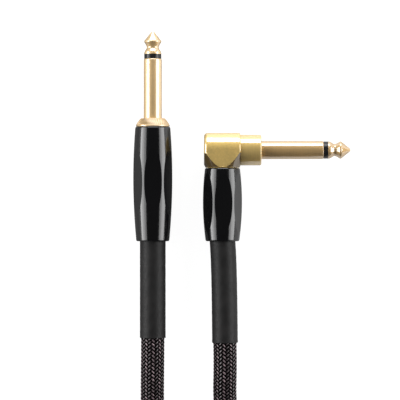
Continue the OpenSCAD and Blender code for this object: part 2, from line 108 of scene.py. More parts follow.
# %% The grid-to-mesh helper
def grid_mesh(name, points, uv=None, pipe=False, sharp=40.0, groove=None):
    """Rows x columns x 3 points in millimetres. Face (i, j) joins points (i, j), (i, j+1), (i+1, j+1)
    and (i+1, j), with both indices wrapping where the grid closes. A mask of one number for each point
    is kept on the mesh, for its material to paint shade with."""
    rows, cols = points.shape[:2]
    index = np.arange(rows * cols).reshape(rows, cols)
    here = index if pipe else index[:-1]
    there = np.roll(index, -1, 0) if pipe else index[1:]
    quads = np.stack([here, np.roll(here, -1, 1), np.roll(there, -1, 1), there], -1).reshape(-1, 4)
    vertices, fans = points.reshape(-1, 3), np.zeros((0, 3), int)
    if not pipe:
        vertices = np.concatenate([vertices, points[:1].mean(1), points[-1:].mean(1)])
        first, last = index[0], index[-1]
        fans = np.concatenate([
            np.stack([np.full(cols, rows * cols), np.roll(first, -1), first], -1),
            np.stack([np.full(cols, rows * cols + 1), last, np.roll(last, -1)], -1)])
    mesh = bpy.data.meshes.new(name)
    mesh.vertices.add(len(vertices))
    mesh.vertices.foreach_set("co", (vertices * MM).astype(np.float32).ravel())
    corners = np.concatenate([quads.ravel(), fans.ravel()]).astype(np.int32)
    starts = np.concatenate([np.arange(len(quads)) * 4, quads.size + np.arange(len(fans)) * 3])
    mesh.loops.add(len(corners))
    mesh.loops.foreach_set("vertex_index", corners)
    mesh.polygons.add(len(starts))
    mesh.polygons.foreach_set("loop_start", starts.astype(np.int32))
    mesh.update(calc_edges=True)
    mesh.validate()
    if uv is not None:
        u, v = uv
        u0, u1 = np.meshgrid(u[:-1], v[:-1])[0], np.meshgrid(u[1:], v[:-1])[0]
        v0, v1 = np.meshgrid(u[1:], v[:-1])[1], np.meshgrid(u[1:], v[1:])[1]
        flat = np.stack([np.stack(c, -1) for c in ((u0, v0), (u1, v0), (u1, v1), (u0, v1))], 2)
        caps = np.zeros((fans.size, 2))
        layer = mesh.uv_layers.new(name="Around and along")
        layer.uv.foreach_set("vector", np.concatenate([flat.reshape(-1, 2), caps]).ravel())
    if groove is not None:
        layer = mesh.attributes.new("groove", "FLOAT", "POINT")
        layer.data.foreach_set("value", groove.astype(np.float32).ravel())
    mesh.shade_smooth()
    mesh.set_sharp_from_angle(angle=math.radians(sharp))
    return mesh


# %% [markdown]
# A mesh becomes a piece when it has a material and a body to ride on. The imported nodes that it
# stands for are then no longer shown. One call does all of this, so that no piece can leave any of
# it out.


# %% A piece from a grid
def add_grid(name, points, slot, material, *nodes, body=ROOT, **shape):
    """The grid becomes a piece that rides on a body and stands for the nodes named. The keywords
    left over go to grid_mesh."""
    mesh = grid_mesh(name, points, **shape)
    piece = bpy.data.objects.new(name, mesh)
    bpy.context.scene.collection.objects.link(piece)
    mesh.materials.append(material)
    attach(piece, body)
    if nodes:
        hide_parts(*nodes)
    print(f"{name}: {len(mesh.polygons)} faces")
    return piece


# %% [markdown]
# ## The camera comes first
# The two plugs lie on a table and the camera hangs straight above them. A long lens at less than
# a metre keeps the perspective weak, so that the sides of the barrels stay out of sight. The
# frame is 140 mm wide where the plugs lie, and its centre is a little left of the origin.

# %% The camera
frame_width = 140.0
frame_centre = (-14.65, -4.453)
lens, sensor = 200.0, 36.0
camera_height = frame_width * lens / sensor + straight_at[2]

camera_data = bpy.data.cameras.new("camera")
camera_data.lens = lens
camera_data.sensor_width = sensor
camera_data.clip_start, camera_data.clip_end = 0.01, 20
camera = bpy.data.objects.new("camera", camera_data)
camera.location = (frame_centre[0] * MM, frame_centre[1] * MM, camera_height * MM)
bpy.context.scene.collection.objects.link(camera)
bpy.context.scene.camera = camera
print("camera height", round(camera_height), "mm")

# %% [markdown]
# ## The cable's route
# The real cable is three metres long, and only its two ends show. The rest is folded into a hank
# just below the frame, five and a half turns of it, with a strap round one side. The turns lie in
# slots a diameter apart: three layers of two, and one more strand in the groove on top. The turns
# first fill the inner slots from the table up, then come down by the outer ones. Where a strand
# changes its slot it rolls over its neighbour, so that it keeps its distance from it.

# %% Slots of the hank
cord_d = 8.2
cord_r = cord_d / 2
near_y, far_y = -120.0, -266.0
inner_r = 3 * cord_d
outer_r = inner_r + cord_d
layer = [cord_r + cord_d * k for k in range(3)]
top_z = layer[2] + cord_d * math.cos(math.radians(30))
inner_slots = [(inner_r, z) for z in layer]
outer_slots = [(outer_r, z) for z in layer]
top_slot = ((inner_r + outer_r) / 2, top_z)
climb_y = (-245.0, -175.0)
drop_y = (-205.0, -262.0)
tie_y, tie_width, tie_thickness = -185.0, 16.0, 1.2
lift_from, lift_to = 32.0, 10.0     # distances from the tie where its strands start and end to rise
last_y = -136.3                     # where the last strand leaves for the angle plug
step = 2.0
print(len(inner_slots + outer_slots) + 1, "slots, the top one at", round(top_z, 2), "mm")

# %% [markdown]
# The line through the hank is made of two kinds of stretch. A strand is straight, or eases over
# into the next slot within a window of its length. A fold is half a circle at one height. Drawn by
# hand as one curve it would need hundreds of points, and two turns could still touch.


# %% Strands and folds
def ease(t):
    """0 to 1 with no kink at either end: 6t^5 - 15t^4 + 10t^3."""
    t = np.clip(t, 0, 1)
    return t**3 * (t * (6 * t - 15) + 10)


def strand(side, here, there, start_y, end_y, window, pivot=None):
    """One straight run. Inside the window the strand moves from one slot to the next, straight,
    or on a circle a diameter from the pivot's strand."""
    y = np.linspace(start_y, end_y, int(abs(end_y - start_y) / step) + 1)
    t = ease((y - window[0]) / (window[1] - window[0]))
    if pivot is None:
        radius, z = (here[k] + (there[k] - here[k]) * t for k in (0, 1))
    else:
        angles = [math.atan2(p[1] - pivot[1], p[0] - pivot[0]) for p in (here, there)]
        turn = angles[0] + (angles[1] - angles[0]) * t
        radius, z = pivot[0] + cord_d * np.cos(turn), pivot[1] + cord_d * np.sin(turn)
    return np.stack([side * radius, y, z], -1)


def fold(centre_y, slot, start):
    """Half a circle at one height, anticlockwise from the angle given in degrees."""
    turn = math.radians(start) + np.linspace(0, math.pi, int(math.pi * slot[0] / step) + 1)
    x, y = slot[0] * np.cos(turn), centre_y + slot[0] * np.sin(turn)
    return np.stack([x, y, np.full_like(x, slot[1])], -1)


print("a fold in the top slot takes", round(math.pi * top_slot[0], 1), "mm of cable")

# %% [markdown]
# Three turns climb through the inner slots to the top, and two and a half come down through the
# outer ones. Near the strap, the strands on that side are lifted by its thickness, because it
# passes below them.

# %% Wind the hank
up_slots = inner_slots + [top_slot]
down_slots = [top_slot] + outer_slots[::-1]
turns = []
for k in range(3):
    turns.append(strand(-1, up_slots[k], up_slots[k], near_y, far_y, drop_y))
    turns.append(fold(far_y, up_slots[k], 180))
    pivot = outer_slots[2] if k == 2 else None
    turns.append(strand(1, up_slots[k], up_slots[k + 1], far_y, near_y, climb_y, pivot))
    turns.append(fold(near_y, up_slots[k + 1], 0))
for k in range(3):
    pivot = inner_slots[2] if k == 0 else None
    turns.append(strand(-1, down_slots[k], down_slots[k + 1], near_y, far_y, drop_y, pivot))
    turns.append(fold(far_y, down_slots[k + 1], 180))
    turns.append(strand(1, down_slots[k + 1], down_slots[k + 1], far_y,
                        last_y if k == 2 else near_y, climb_y))
    if k < 2:
        turns.append(fold(near_y, down_slots[k + 1], 0))
hank = np.concatenate(turns)
near_tie = ease((lift_from - np.abs(hank[:, 1] - tie_y)) / (lift_from - lift_to))
hank[:, 2] += tie_thickness * near_tie * (hank[:, 0] < 0)
print("strands in the hank", len(turns) // 2)

# %% [markdown]
# ## From the boots to the hank
# The two short stretches in between are routes given point by point. Each point says how far the
# cable has gone sideways and along since it left its boot, and how far it has sunk from the boot's
# height to the table. A simulated cord would lie as naturally, but not twice in the same place.

# %% Routes of the leads
straight_route = [(0, 0, 0), (-0.05, -7, 0), (-0.15, -15, 0.35), (-0.2, -23, 0.85), (0.1, -32, 1),
                  (1.1, -41, 1), (2.9, -50, 1), (4.8, -59, 1), (6.6, -67.45, 1)]
angle_route = [(0, 0, 0), (0.1, -6, 0), (0.05, -13, 0.35), (0, -20, 0.85), (2, -31.5, 1),
               (8, -42, 1), (19.5, -50.5, 1), (30.5, -59.5, 1), (36.5, -70, 1), (38.6, -81.95, 1)]
boot_lean = math.radians(1.3)
lean_pivot = 2.0
angle_boot_l = 35.5
leaning_l = angle_boot_l + lean_pivot
straight_exit = np.array([straight["start"][0], low("straight_boot")[1], straight["start"][2]])
angle_exit = np.array([angle_x + leaning_l * math.sin(boot_lean),
                       rear_y + lean_pivot - leaning_l * math.cos(boot_lean),
                       angle["start"][2]])


def laid(start, route):
    """Route points in the frame: the last number of each blends the boot's height to the table."""
    route = np.array(route, float)
    z = start[2] + route[:, 2] * (cord_r - start[2])
    return np.stack([start[0] + route[:, 0], start[1] + route[:, 1], z], -1)


straight_laid, angle_laid = laid(straight_exit, straight_route), laid(angle_exit, angle_route)
print("the cable sinks", (straight_exit[2] - cord_r).round(2), "mm from its boots to the table")

# %% [markdown]
# A Catmull-Rom curve goes through every point that it is given, so the routes can be read as they
# are, while a Bezier curve needs two handles for each point as well. The curve is then cut into
# even steps, because the weave counts the length along it, and a short moving average takes the
# last kinks out of it.


# %% Curves through points
def through(points, per_span=16):
    """Catmull-Rom: on each span the curve blends four neighbours with cubic weights, so that it
    passes through the middle two with the slope of their neighbours' chord."""
    ends = np.concatenate([2 * points[:1] - points[1:2], points, 2 * points[-1:] - points[-2:-1]])
    t = np.linspace(0, 1, per_span, endpoint=False)[:, None, None]
    a, b, c, d = ends[:-3], ends[1:-2], ends[2:-1], ends[3:]
    curve = 0.5 * (2 * b + (c - a) * t + (2 * a - 5 * b + 4 * c - d) * t**2
                   + (3 * b - a - 3 * c + d) * t**3)
    return np.concatenate([curve.transpose(1, 0, 2).reshape(-1, 3), points[-1:]])


def lengths(line):
    """Distance along the line at each of its points."""
    return np.r_[0, np.cumsum(np.linalg.norm(np.diff(line, axis=0), axis=1))]


def even(line, spacing):
    """The same line with its points evenly spaced, by linear interpolation on the length."""
    along = lengths(line)
    at = np.linspace(0, along[-1], int(round(along[-1] / spacing)) + 1)
    return np.stack([np.interp(at, along, line[:, k]) for k in range(3)], -1)


def soften(line, width):
    """Each point becomes the average of its neighbours, weighted by a bell of that width; the
    line is first extended at both ends, so that the ends stay where they are."""
    kernel = np.exp(-0.5 * (np.arange(-3 * width, 3 * width + 1) / width) ** 2)
    kernel /= kernel.sum()
    pad = 3 * width
    before = 2 * line[0] - line[pad:0:-1]
    after = 2 * line[-1] - line[-2:-pad - 2:-1]
    long = np.concatenate([before, line, after])
    return np.stack([np.convolve(long[:, k], kernel, "valid") for k in range(3)], -1)


print("the straight plug's lead takes", round(lengths(through(straight_laid))[-1], 1), "mm of cable")

# %% [markdown]
# The whole cable is one line, from inside the straight plug's boot, through the hank, to the inside
# of the other boot. It starts a little way in, so that no gap shows at a boot's end.

# %% The whole line
tucked = 4.0        # the cable starts this far inside each boot
hank_stride = 4     # every fourth point of the hank is a control point
first_point = straight_exit + np.array([[0, tucked, 0]])
last_point = angle_exit + tucked * np.array([[-math.sin(boot_lean), math.cos(boot_lean), 0]])
controls = np.concatenate([first_point, straight_laid[:-1], hank[::hank_stride],
                           angle_laid[-2::-1], last_point])
cable_line = soften(even(through(controls, per_span=8), spacing=1.0), width=3)
cable_length = lengths(cable_line)[-1]
print("cable length between the boots", round(cable_length), "mm")

# %% [markdown]
# ## Frames along a line
# A tube needs two directions across its line at every point. The cable never stands upright, so
# the level direction across it and the direction square to both are always well defined, and the
# tube doesn't twist. The grid's points are then the line's points plus a radius that may change
# from point to point, which is all that a woven surface needs.


# %% Tubes along lines
def full_turn(columns):
    """One row of angles, evenly spaced round a ring."""
    return np.linspace(0, 2 * math.pi, columns, endpoint=False)[None]


def tube_points(line, radius, columns):
    """line + radius * (up cos + side sin), where side = direction x vertical, and
    up = side x direction."""
    direction = np.gradient(line, axis=0)
    direction /= np.linalg.norm(direction, axis=1, keepdims=True)
    side = np.cross(direction, (0, 0, 1.0))
    side /= np.linalg.norm(side, axis=1, keepdims=True)
    up = np.cross(side, direction)
    turn = full_turn(columns)[..., None]
    across = up[:, None] * np.cos(turn) + side[:, None] * np.sin(turn)
    return line[:, None] + np.asarray(radius)[..., None] * across


print("four columns stand at", np.degrees(full_turn(4)[0]), "degrees")

# %% [markdown]
# ## The braid
# Twenty strands run round the cable each way, and every strand passes over two and under two.
# In the plane, with a counting strands round the cable and b counting them along it, the strands
# of one family are the bands of a - b, and those of the other the bands of a + b. Which family is
# on top depends on the sum of the two band numbers, modulo 4. This makes the columns of little
# chevrons that a braided cable shows. The same sums give the relief, as a surface, and the
# colours, as nodes.

# %% Relief of the braid
strands = 20
pitch = 1.31
braid_depth = 0.26
yarn_roundness, float_roundness, float_depth = 2.4, 0.55, 0.75


def braid_relief(a, b):
    """0 in the gaps to 1 on a strand's back, with f across and t along the band on top. It is
    round across, 1 - |2f - 1|^roundness, and dives at both ends of its float, by sin(pi t)."""
    plus, minus = a + b, a - b
    f_plus, f_minus = plus - np.floor(plus), minus - np.floor(minus)
    total = np.mod(np.floor(plus) + np.floor(minus), 4)
    first = total < 2
    t = np.where(first, (total + f_plus) / 2, (total - 2 + f_minus) / 2)
    f = np.where(first, f_minus, f_plus)
    dive = 1 - float_depth + float_depth * np.sin(math.pi * t) ** float_roundness
    return (1 - np.abs(2 * f - 1) ** yarn_roundness) * dive


print("a strand takes", round(2 * math.pi * cord_r / strands, 2), "mm round and", pitch, "mm along")

# %% [markdown]
# ## Writing materials down
# A material is a small graph of nodes. It could be drawn in the shader editor, but a graph that is
# written down can be read, changed and made again. A few helpers keep it short: one adds a node,
# one feeds its inputs by their names, and one starts a material with the numbers that stay fixed.


# %% Nodes and what feeds them
def node(tree, kind, **settings):
    """A new node of that kind, with its own settings."""
    made = tree.nodes.new("ShaderNode" + kind)
    for key, value in settings.items():
        setattr(made, key, value)
    return made


def link(tree, source, target):
    """source is a number, a colour or a node's output, and target a node's input."""
    if isinstance(source, bpy.types.NodeSocket):
        tree.links.new(source, target)
    else:
        target.default_value = (*source, 1) if isinstance(source, tuple) else source


def feed(tree, target, **sources):
    """Each keyword is the name of an input of the target node, with spaces as underscores."""
    for key, source in sources.items():
        link(tree, source, target.inputs[key.replace("_", " ")])


def new_material(name, **fixed):
    """A Principled material, with the numbers and colours that stay the same all over it."""
    material = bpy.data.materials.new(name)
    material.use_nodes = True
    tree = material.node_tree
    shader = tree.nodes["Principled BSDF"]
    feed(tree, shader, **fixed)
    return material, tree, shader


# %% [markdown]
# The rest are the kinds of node that the finishes here use: sums, noise, a change of range, a blend
# of two colours, bump, the parts of a vector, and the place on a piece in millimetres.


# %% Sums, noise, colours and bump
def sums(tree, operation, *inputs):
    """One step of arithmetic on numbers or other nodes' outputs."""
    made = node(tree, "Math", operation=operation)
    for k, value in enumerate(inputs):
        link(tree, value, made.inputs[k])
    return made.outputs[0]


def noise(tree, where, scale, detail=3.0, roughness=0.5):
    """Soft noise, with scale spots to each unit of the place given."""
    made = node(tree, "TexNoise")
    feed(tree, made, Vector=where, Scale=scale, Detail=detail, Roughness=roughness)
    return made.outputs["Fac"]


def remap(tree, value, low_in, high_in, low_out=0.0, high_out=1.0):
    """A straight ramp from low_out to high_out as the value goes from low_in to high_in."""
    made = node(tree, "MapRange")
    for k, v in enumerate((value, low_in, high_in, low_out, high_out)):
        link(tree, v, made.inputs[k])
    return made.outputs[0]


def mixed(tree, share, first, second):
    """first * (1 - share) + second * share, for colours."""
    made = node(tree, "Mix", data_type="RGBA")
    for source, k in ((share, 0), (first, 6), (second, 7)):
        link(tree, source, made.inputs[k])
    return made.outputs[2]


def bumped(tree, shader, height, strength, distance_mm):
    """The shader's surface tilts as if height, from 0 to 1, stood that many millimetres proud."""
    made = node(tree, "Bump")
    feed(tree, made, Height=height, Strength=strength, Distance=distance_mm * MM)
    feed(tree, shader, Normal=made.outputs[0])


def parts_of(tree, vector):
    """The x, y and z outputs of a vector."""
    made = node(tree, "SeparateXYZ")
    tree.links.new(vector, made.inputs[0])
    return made.outputs


def object_place(tree, stretch=(1, 1, 1)):
    """Object coordinates in millimetres, stretched along the three axes."""
    place = node(tree, "TexCoord").outputs["Object"]
    scaled = node(tree, "Mapping", vector_type="POINT")
    scaled.inputs["Scale"].default_value = tuple(s / MM for s in stretch)
    tree.links.new(place, scaled.inputs["Vector"])
    return scaled.outputs[0]


# %% [markdown]
# ## Braid finish
# The yarns are nearly black, heathered with mauve, and no two are quite alike. An image of cloth
# would be sharp from near or from far, but not both, and would show its seam. So the graph repeats
# the sums of the relief on the piece's own map, and finds which yarn is on top and where on it
# each point lies.


# %% The yarn on top, as nodes
family_apart = 40.5     # keeps the numbers of one family's yarns clear of the other's


def braid_bands(tree):
    """The sums of braid_relief as nodes: the place across and along the yarn on top, that yarn's
    own number, and pick(one, other), which chooses by the family that is on top."""
    on_map = parts_of(tree, node(tree, "UVMap", uv_map="Around and along").outputs[0])
    a, b = (sums(tree, "MULTIPLY", on_map[k], strands) for k in (0, 1))
    plus, minus = sums(tree, "ADD", a, b), sums(tree, "SUBTRACT", a, b)
    i, j = sums(tree, "FLOOR", plus), sums(tree, "FLOOR", minus)
    f_plus, f_minus = sums(tree, "SUBTRACT", plus, i), sums(tree, "SUBTRACT", minus, j)
    total = sums(tree, "FLOORED_MODULO", sums(tree, "ADD", i, j), 4)
    second = sums(tree, "GREATER_THAN", total, 1.5)
    first = sums(tree, "SUBTRACT", 1, second)

    def pick(one, other):
        return sums(tree, "ADD", sums(tree, "MULTIPLY", one, first),
                    sums(tree, "MULTIPLY", other, second))

    across = pick(f_minus, f_plus)
    of_second = sums(tree, "ADD", sums(tree, "SUBTRACT", total, 2), f_minus)
    along = pick(sums(tree, "DIVIDE", sums(tree, "ADD", total, f_plus), 2),
                 sums(tree, "DIVIDE", of_second, 2))
    number = pick(sums(tree, "FLOORED_MODULO", j, strands),
                  sums(tree, "ADD", sums(tree, "FLOORED_MODULO", i, strands), family_apart))
    return across, along, number, pick


# %% [markdown]
# A yarn's own number looks up how much mauve it has, and the yarns that run one way round have much
# less of it than the others. Fine lines along the yarn stand for its filaments. The gaps, and the
# ends where a yarn dives under, are painted black as shade, and have no gloss. On the hank the relief
# comes from the same graph as bump, because there the braid is far from the camera.

# %% The woven material
# The black is the yarns' dye, and also the painted shade in the gaps.
black_yarn_and_gap_shade = (0.002, 0.0018, 0.0019)
mauve_yarn = (0.66, 0.49, 0.525)
least_mauve, most_mauve = 0.45, 1.0
dark_direction = 0.3    # what is left of the mauve in the yarns that run the darker way


def braid_material(name, relief_mm):
    """relief_mm is the height that is left to bump: little where the mesh has the relief."""
    material, tree, shader = new_material(name, Roughness=0.34)
    across, along, number, pick = braid_bands(tree)
    yarn = node(tree, "TexWhiteNoise", noise_dimensions="1D")
    feed(tree, yarn, W=number)
    mauve = remap(tree, yarn.outputs["Value"], 0.1, 0.7, least_mauve, most_mauve)
    share = sums(tree, "MULTIPLY", mauve, pick(dark_direction, 1.0))
    from_middle = sums(tree, "ABSOLUTE", sums(tree, "SUBTRACT", sums(tree, "MULTIPLY", across, 2), 1))
    hump = sums(tree, "SUBTRACT", 1, sums(tree, "POWER", from_middle, yarn_roundness))
    dive = sums(tree, "POWER", sums(tree, "SINE", sums(tree, "MULTIPLY", along, math.pi)),
                float_roundness)
    relief = sums(tree, "MULTIPLY", hump,
                  sums(tree, "MULTIPLY_ADD", dive, float_depth, 1 - float_depth))
    filaments = sums(tree, "MULTIPLY_ADD", sums(tree, "SINE", sums(
        tree, "MULTIPLY_ADD", across, 6 * math.pi, sums(tree, "MULTIPLY", along, 7.0))), 0.5, 0.5)
    speckle = noise(tree, object_place(tree), 3.2, 2.0, 0.6)
    heather = sums(tree, "MULTIPLY", share, remap(tree, speckle, 0.35, 0.65, 0.1, 1.0))
    shade = sums(tree, "MULTIPLY", heather, sums(tree, "MULTIPLY_ADD", filaments, 0.4, 0.6))
    dyed = mixed(tree, shade, black_yarn_and_gap_shade, mauve_yarn)
    # Painted shade: where the relief is low, in the gaps and where a yarn dives under, the colour goes
    # to black.
    out_of_gap = remap(tree, relief, 0.6, 1.0)
    feed(tree, shader, Base_Color=mixed(tree, out_of_gap, black_yarn_and_gap_shade, dyed),
         Specular_IOR_Level=remap(tree, relief, 0.7, 1.0, 0.0, 1.2))
    height = sums(tree, "ADD", sums(tree, "MULTIPLY", relief, relief_mm),
                  sums(tree, "MULTIPLY", filaments, 0.02))
    bumped(tree, shader, height, 1.0, 1.0)
    return material


braid_skin = braid_material("woven_braid_near", 0.03)
braid_far = braid_material("woven_braid_far", braid_depth)
print("nodes in the woven material", len(braid_far.node_tree.nodes))

# %% [markdown]
# ## The cable
# One tube follows the whole line. Its weave is only colour and bump, which is enough for the hank
# and costs few triangles. Near the plugs, where finer skins lie over it, the tube is thinner.

# %% Make the cable
under_weave, yarn_rise = 0.06, 0.02
core_r = cord_r - braid_depth - under_weave
lead_l, tail_l = lengths(straight_laid)[-1] + tucked, lengths(angle_laid)[-1] + tucked
along = lengths(cable_line)
fade = 3.0
under_skin = ease((along - lead_l) / fade + 1) * ease((cable_length - tail_l - along) / fade + 1)
cable_r = core_r + (cord_r - core_r) * under_skin


def braid_map(columns, at_mm):
    """u goes once round the cable, and v grows by 1 where the braid has grown as many pitches as
    it has strands, so that both count strands alike."""
    return np.linspace(0, 1, columns + 1), at_mm / (pitch * strands)


cable_rows = even(cable_line, step)
cable_columns = 28
cable_radii = np.interp(np.linspace(0, cable_length, len(cable_rows)), along, cable_r)
cable_radii = cable_radii[:, None] * np.ones((1, cable_columns))
cable = add_grid("cable", tube_points(cable_rows, cable_radii, cable_columns), "woven_braid",
                 braid_far, "straight_lead", "angle_lead", "cable_hank",
                 uv=braid_map(cable_columns, lengths(cable_rows)))


# %% [markdown]
# Near the plugs the weave is close to the camera, so there it is real relief: a skin of fine grid
# points over the plain tube, each lifted by the height of the yarn under it.


# %% The woven skins of the two leads
def woven_skin(name, start_mm, end_mm, per_strand=7):
    """From one length along the cable to another: radius = cable + rise - depth (1 - relief)."""
    columns = strands * per_strand
    rows = int((end_mm - start_mm) / pitch * per_strand)
    at = np.linspace(start_mm, end_mm, rows + 1)
    line = np.stack([np.interp(at, along, cable_line[:, k]) for k in range(3)], -1)
    a = np.arange(columns)[None] / per_strand
    b = at[:, None] / pitch
    radius = cord_r + yarn_rise - braid_depth * (1 - braid_relief(a, b))
    return add_grid(name, tube_points(line, radius, columns), "woven_braid", braid_skin,
                    uv=braid_map(columns, at), sharp=180)


straight_skin = woven_skin("straight_woven_lead", 0.0, lead_l - fade)
angle_skin = woven_skin("angle_woven_lead", cable_length - tail_l + fade, cable_length)

# %% [markdown]
# ## The tie
# A strap of hook-and-loop tape holds the hank together. Its webbing is black and matt, with fine
# loops. Modelled one by one, they would be thousands of pieces on a strap that is hardly seen, so
# noise stands for them, in the colour and as bump, with a little sheen such as cloth has.

# %% Webbing
strap_material, strap_tree, strap_shader = new_material(
    "black_webbing", Roughness=0.85, Sheen_Weight=0.6, Sheen_Roughness=0.5)
loops = noise(strap_tree, object_place(strap_tree), 2.6, 4.0, 0.65)
feed(strap_tree, strap_shader, Base_Color=mixed(
    strap_tree, remap(strap_tree, loops, 0.3, 0.7), (0.012, 0.012, 0.014), (0.05, 0.05, 0.055)))
bumped(strap_tree, strap_shader, loops, 0.8, 0.5)
print("finish", strap_material.name)

# %% [markdown]
# Pulled tight, the strap takes the outline that an elastic band would take round the six strands in
# it. A cloth simulation would find it too, but it is also the outline of the strand whose centre
# lies furthest in each direction, which is one line of numpy. The loose end overlaps on the inner
# side of the hank.

# %% The strap
strap_slack = 0.05                  # it stays this far off the strands
end_arc = (-55, 75)                 # where the loose end lies, in degrees from the inner side
end_top, end_narrower = 1.9, 1.0    # its outer face over the strands, and its narrower width
lifted = [(-r, z + tie_thickness) for r, z in inner_slots + [top_slot] + outer_slots[1:]]


def band_outline(centres, turn, off):
    """The furthest centre in each direction, plus the cable's radius and off along it."""
    facing = np.stack([np.cos(turn), np.sin(turn)], -1)
    centres = np.array(centres)
    return centres[(facing @ centres.T).argmax(1)] + (cord_r + off) * facing


def strap_points(turn, inner, outer, width, rounding=0.3):
    """A flat section with rounded corners, from the inner to the outer offset, carried round the
    outline; its rows go round the section and its columns round the band."""
    corner = np.linspace(0, math.pi / 2, 5)
    half = width / 2 - rounding
    middle, thick = (inner + outer) / 2, (outer - inner) / 2 - rounding
    quarters = list(zip(np.arange(4) * math.pi / 2, (1, -1, -1, 1), (1, 1, -1, -1)))
    offs = np.concatenate([middle + sx * thick + rounding * np.cos(corner + s)
                           for s, sx, sy in quarters])
    ys = np.concatenate([sy * half + rounding * np.sin(corner + s) for s, sx, sy in quarters])
    rings = [band_outline(lifted, turn, off) for off in offs]
    return np.stack([np.stack([ring[:, 0], np.full(len(turn), tie_y + y), ring[:, 1]], -1)
                     for ring, y in zip(rings, ys)])


band = strap_points(full_turn(240)[0], strap_slack, tie_thickness - strap_slack, tie_width)
strap = add_grid("cable_strap", band, "tie_webbing", strap_material, "cable_tie", pipe=True)
overlap = np.radians(np.linspace(*end_arc, 90))
end_rows = strap_points(overlap, tie_thickness, end_top, tie_width - end_narrower).transpose(1, 0, 2)
strap_end = add_grid("strap_end", end_rows, "tie_webbing", strap_material)

# %% [markdown]
# The cable's length, and the point where it leaves the straight plug's boot.

# %% The cord
print("cord of", round(cable_length * MM, 3), "m from", straight_exit.round(2), "mm")

# %% [markdown]
# ## Turned parts
# Tips, sleeves, rings and collars are turned on a lathe, so each is one outline carried round its
# axis. Sharp corners would catch no light, so the outline's corners are rounded first: every
# corner gets an arc that touches both of its sides.


# %% Outlines and lathes
def rounded(outline, steps=5):
    """Corners (station, radius, rounding), in order round a closed outline. Each arc's centre
    lies on the bisector of its corner, rounding / sin(half angle) away."""
    made = []
    count = len(outline)
    for k, (s, r, rounding) in enumerate(outline):
        corner = np.array([s, r], float)
        if rounding == 0:
            made.append(corner[None])
            continue
        sides = [np.array(outline[m % count][:2], float) - corner for m in (k - 1, k + 1)]
        sides = [d / np.linalg.norm(d) for d in sides]
        bisector = sides[0] + sides[1]
        bisector /= np.linalg.norm(bisector)
        half = math.acos(float(np.clip(bisector @ sides[0], -1, 1)))
        centre = corner + bisector * rounding / math.sin(half)
        spokes = [corner + d * rounding / math.tan(half) - centre for d in sides]
        gap = math.acos(float(np.clip(spokes[0] @ spokes[1] / rounding**2, -1, 1)))
        t = np.linspace(0, 1, steps + 1)[:, None]
        made.append(centre + (np.sin((1 - t) * gap) * spokes[0] + np.sin(t * gap) * spokes[1])
                    / math.sin(gap))
    return np.concatenate(made)


def on_axis(axis, s, r, turn):
    """start + along * station + radius * (up cos + side sin). Stations, radii and angles are
    grids of rows x columns, or one column or one row that stands for the whole grid."""
    s, r, turn = s[..., None], r[..., None], turn[..., None]
    return (axis["start"] + axis["along"] * s
            + r * (axis["up"] * np.cos(turn) + axis["side"] * np.sin(turn)))


def lathe(name, axis, outline, slot, material, *nodes, pipe=True, columns=96):
    """The outline, in stations and radii, carried once round the axis."""
    points = on_axis(axis, outline[:, :1], outline[:, 1:], full_turn(columns))
    add_grid(name, points, slot, material, *nodes, pipe=pipe, sharp=30)


# %% [markdown]
# ## Gold plate
# Bright gold over a finely turned surface: a broad, warm glow from the fine turning marks under
# the plate, and a crisp reflection from its polished top. One roughness alone would lose one of
# the two, and a coat over a rougher metal gives both. The marks are noise squeezed flat along the
# axis that the part was turned on. A piece may carry a mask attribute, and there the metal is
# painted darker and keeps less coat, as painted shade: in the bottoms of the flutes, and on the
# corners of the head where the cone has cut.


# %% Gold
def gold_material(name, colour, squeeze, rough=0.64, painted_shade=None):
    """The optional pair is the darker colour, and the share of the coat left, where the piece's mask
    attribute is 1: painted shade in flute bottoms and on the head's cut corners.
    """
    material, tree, shader = new_material(
        name, Metallic=1.0, Coat_Weight=1.0, Coat_Roughness=0.05, Coat_IOR=3.0,
        Specular_Tint=(0.70, 0.74, 0.78))
    place = object_place(tree, squeeze)
    marks = noise(tree, place, 1.0, 3.0, 0.6)
    clouds = noise(tree, object_place(tree), 0.25, 2.0)
    plated = mixed(tree, remap(tree, marks, 0.35, 0.65), tuple(c * 0.9 for c in colour), colour)
    if painted_shade:
        # Painted shade: where the piece's mask attribute is high, the gold turns to the darker colour
        # and keeps less coat.
        depth = node(tree, "Attribute", attribute_name="groove").outputs["Fac"]
        plated = mixed(tree, remap(tree, depth, 0.05, 0.5), plated, painted_shade[0])
        feed(tree, shader, Coat_Weight=remap(tree, depth, 0.05, 0.4, 1.0, painted_shade[1]))
    feed(tree, shader, Base_Color=plated,
         Roughness=remap(tree, clouds, 0.3, 0.7, rough - 0.03, rough + 0.05))
    bumped(tree, shader, marks, 0.05, 0.02)
    return material


marks_y, marks_x, marks_cast = (0.3, 9.0, 0.3), (9.0, 0.3, 0.3), (1.5, 1.5, 1.5)
cast_gold = (1.0, 0.75, 0.28)
gold_y = gold_material("gold_turned_lengthwise", (1.0, 0.75, 0.40), marks_y)
gold_x = gold_material("gold_turned_crosswise", (0.78, 0.54, 0.25), marks_x)
# The fluted ring gets painted shade: a darker gold and almost no coat in its flute bottoms.
gold_fluted = gold_material("gold_fluted", (1.0, 0.74, 0.40), marks_cast, rough=0.55,
                            painted_shade=((0.42, 0.26, 0.11), 0.1))
gold_head = gold_material("gold_cast", cast_gold, marks_cast)
# The head gets painted shade: a darker gold and less coat on the corners that the cone has cut.
gold_painted_corners = gold_material("gold_cast_painted_corners", cast_gold, marks_cast,
                             painted_shade=((0.185, 0.125, 0.052), 0.7))
gold_collar = gold_material("gold_collar", (0.95, 0.71, 0.28), marks_x)
print("gold finishes", [gold.name for gold in (gold_y, gold_x, gold_fluted, gold_head, gold_painted_corners,
                                               gold_collar)])

# %% [markdown]
# ## Black gloss
# The barrels are lacquered black, with a surface like a mirror that isn't quite flat. A plain dark
# gloss would look computed, so soft noise moves the surface by a few thousandths of a millimetre,
# as lacquer does when it settles. The moulded ring on each shaft is the same, but less glossy.


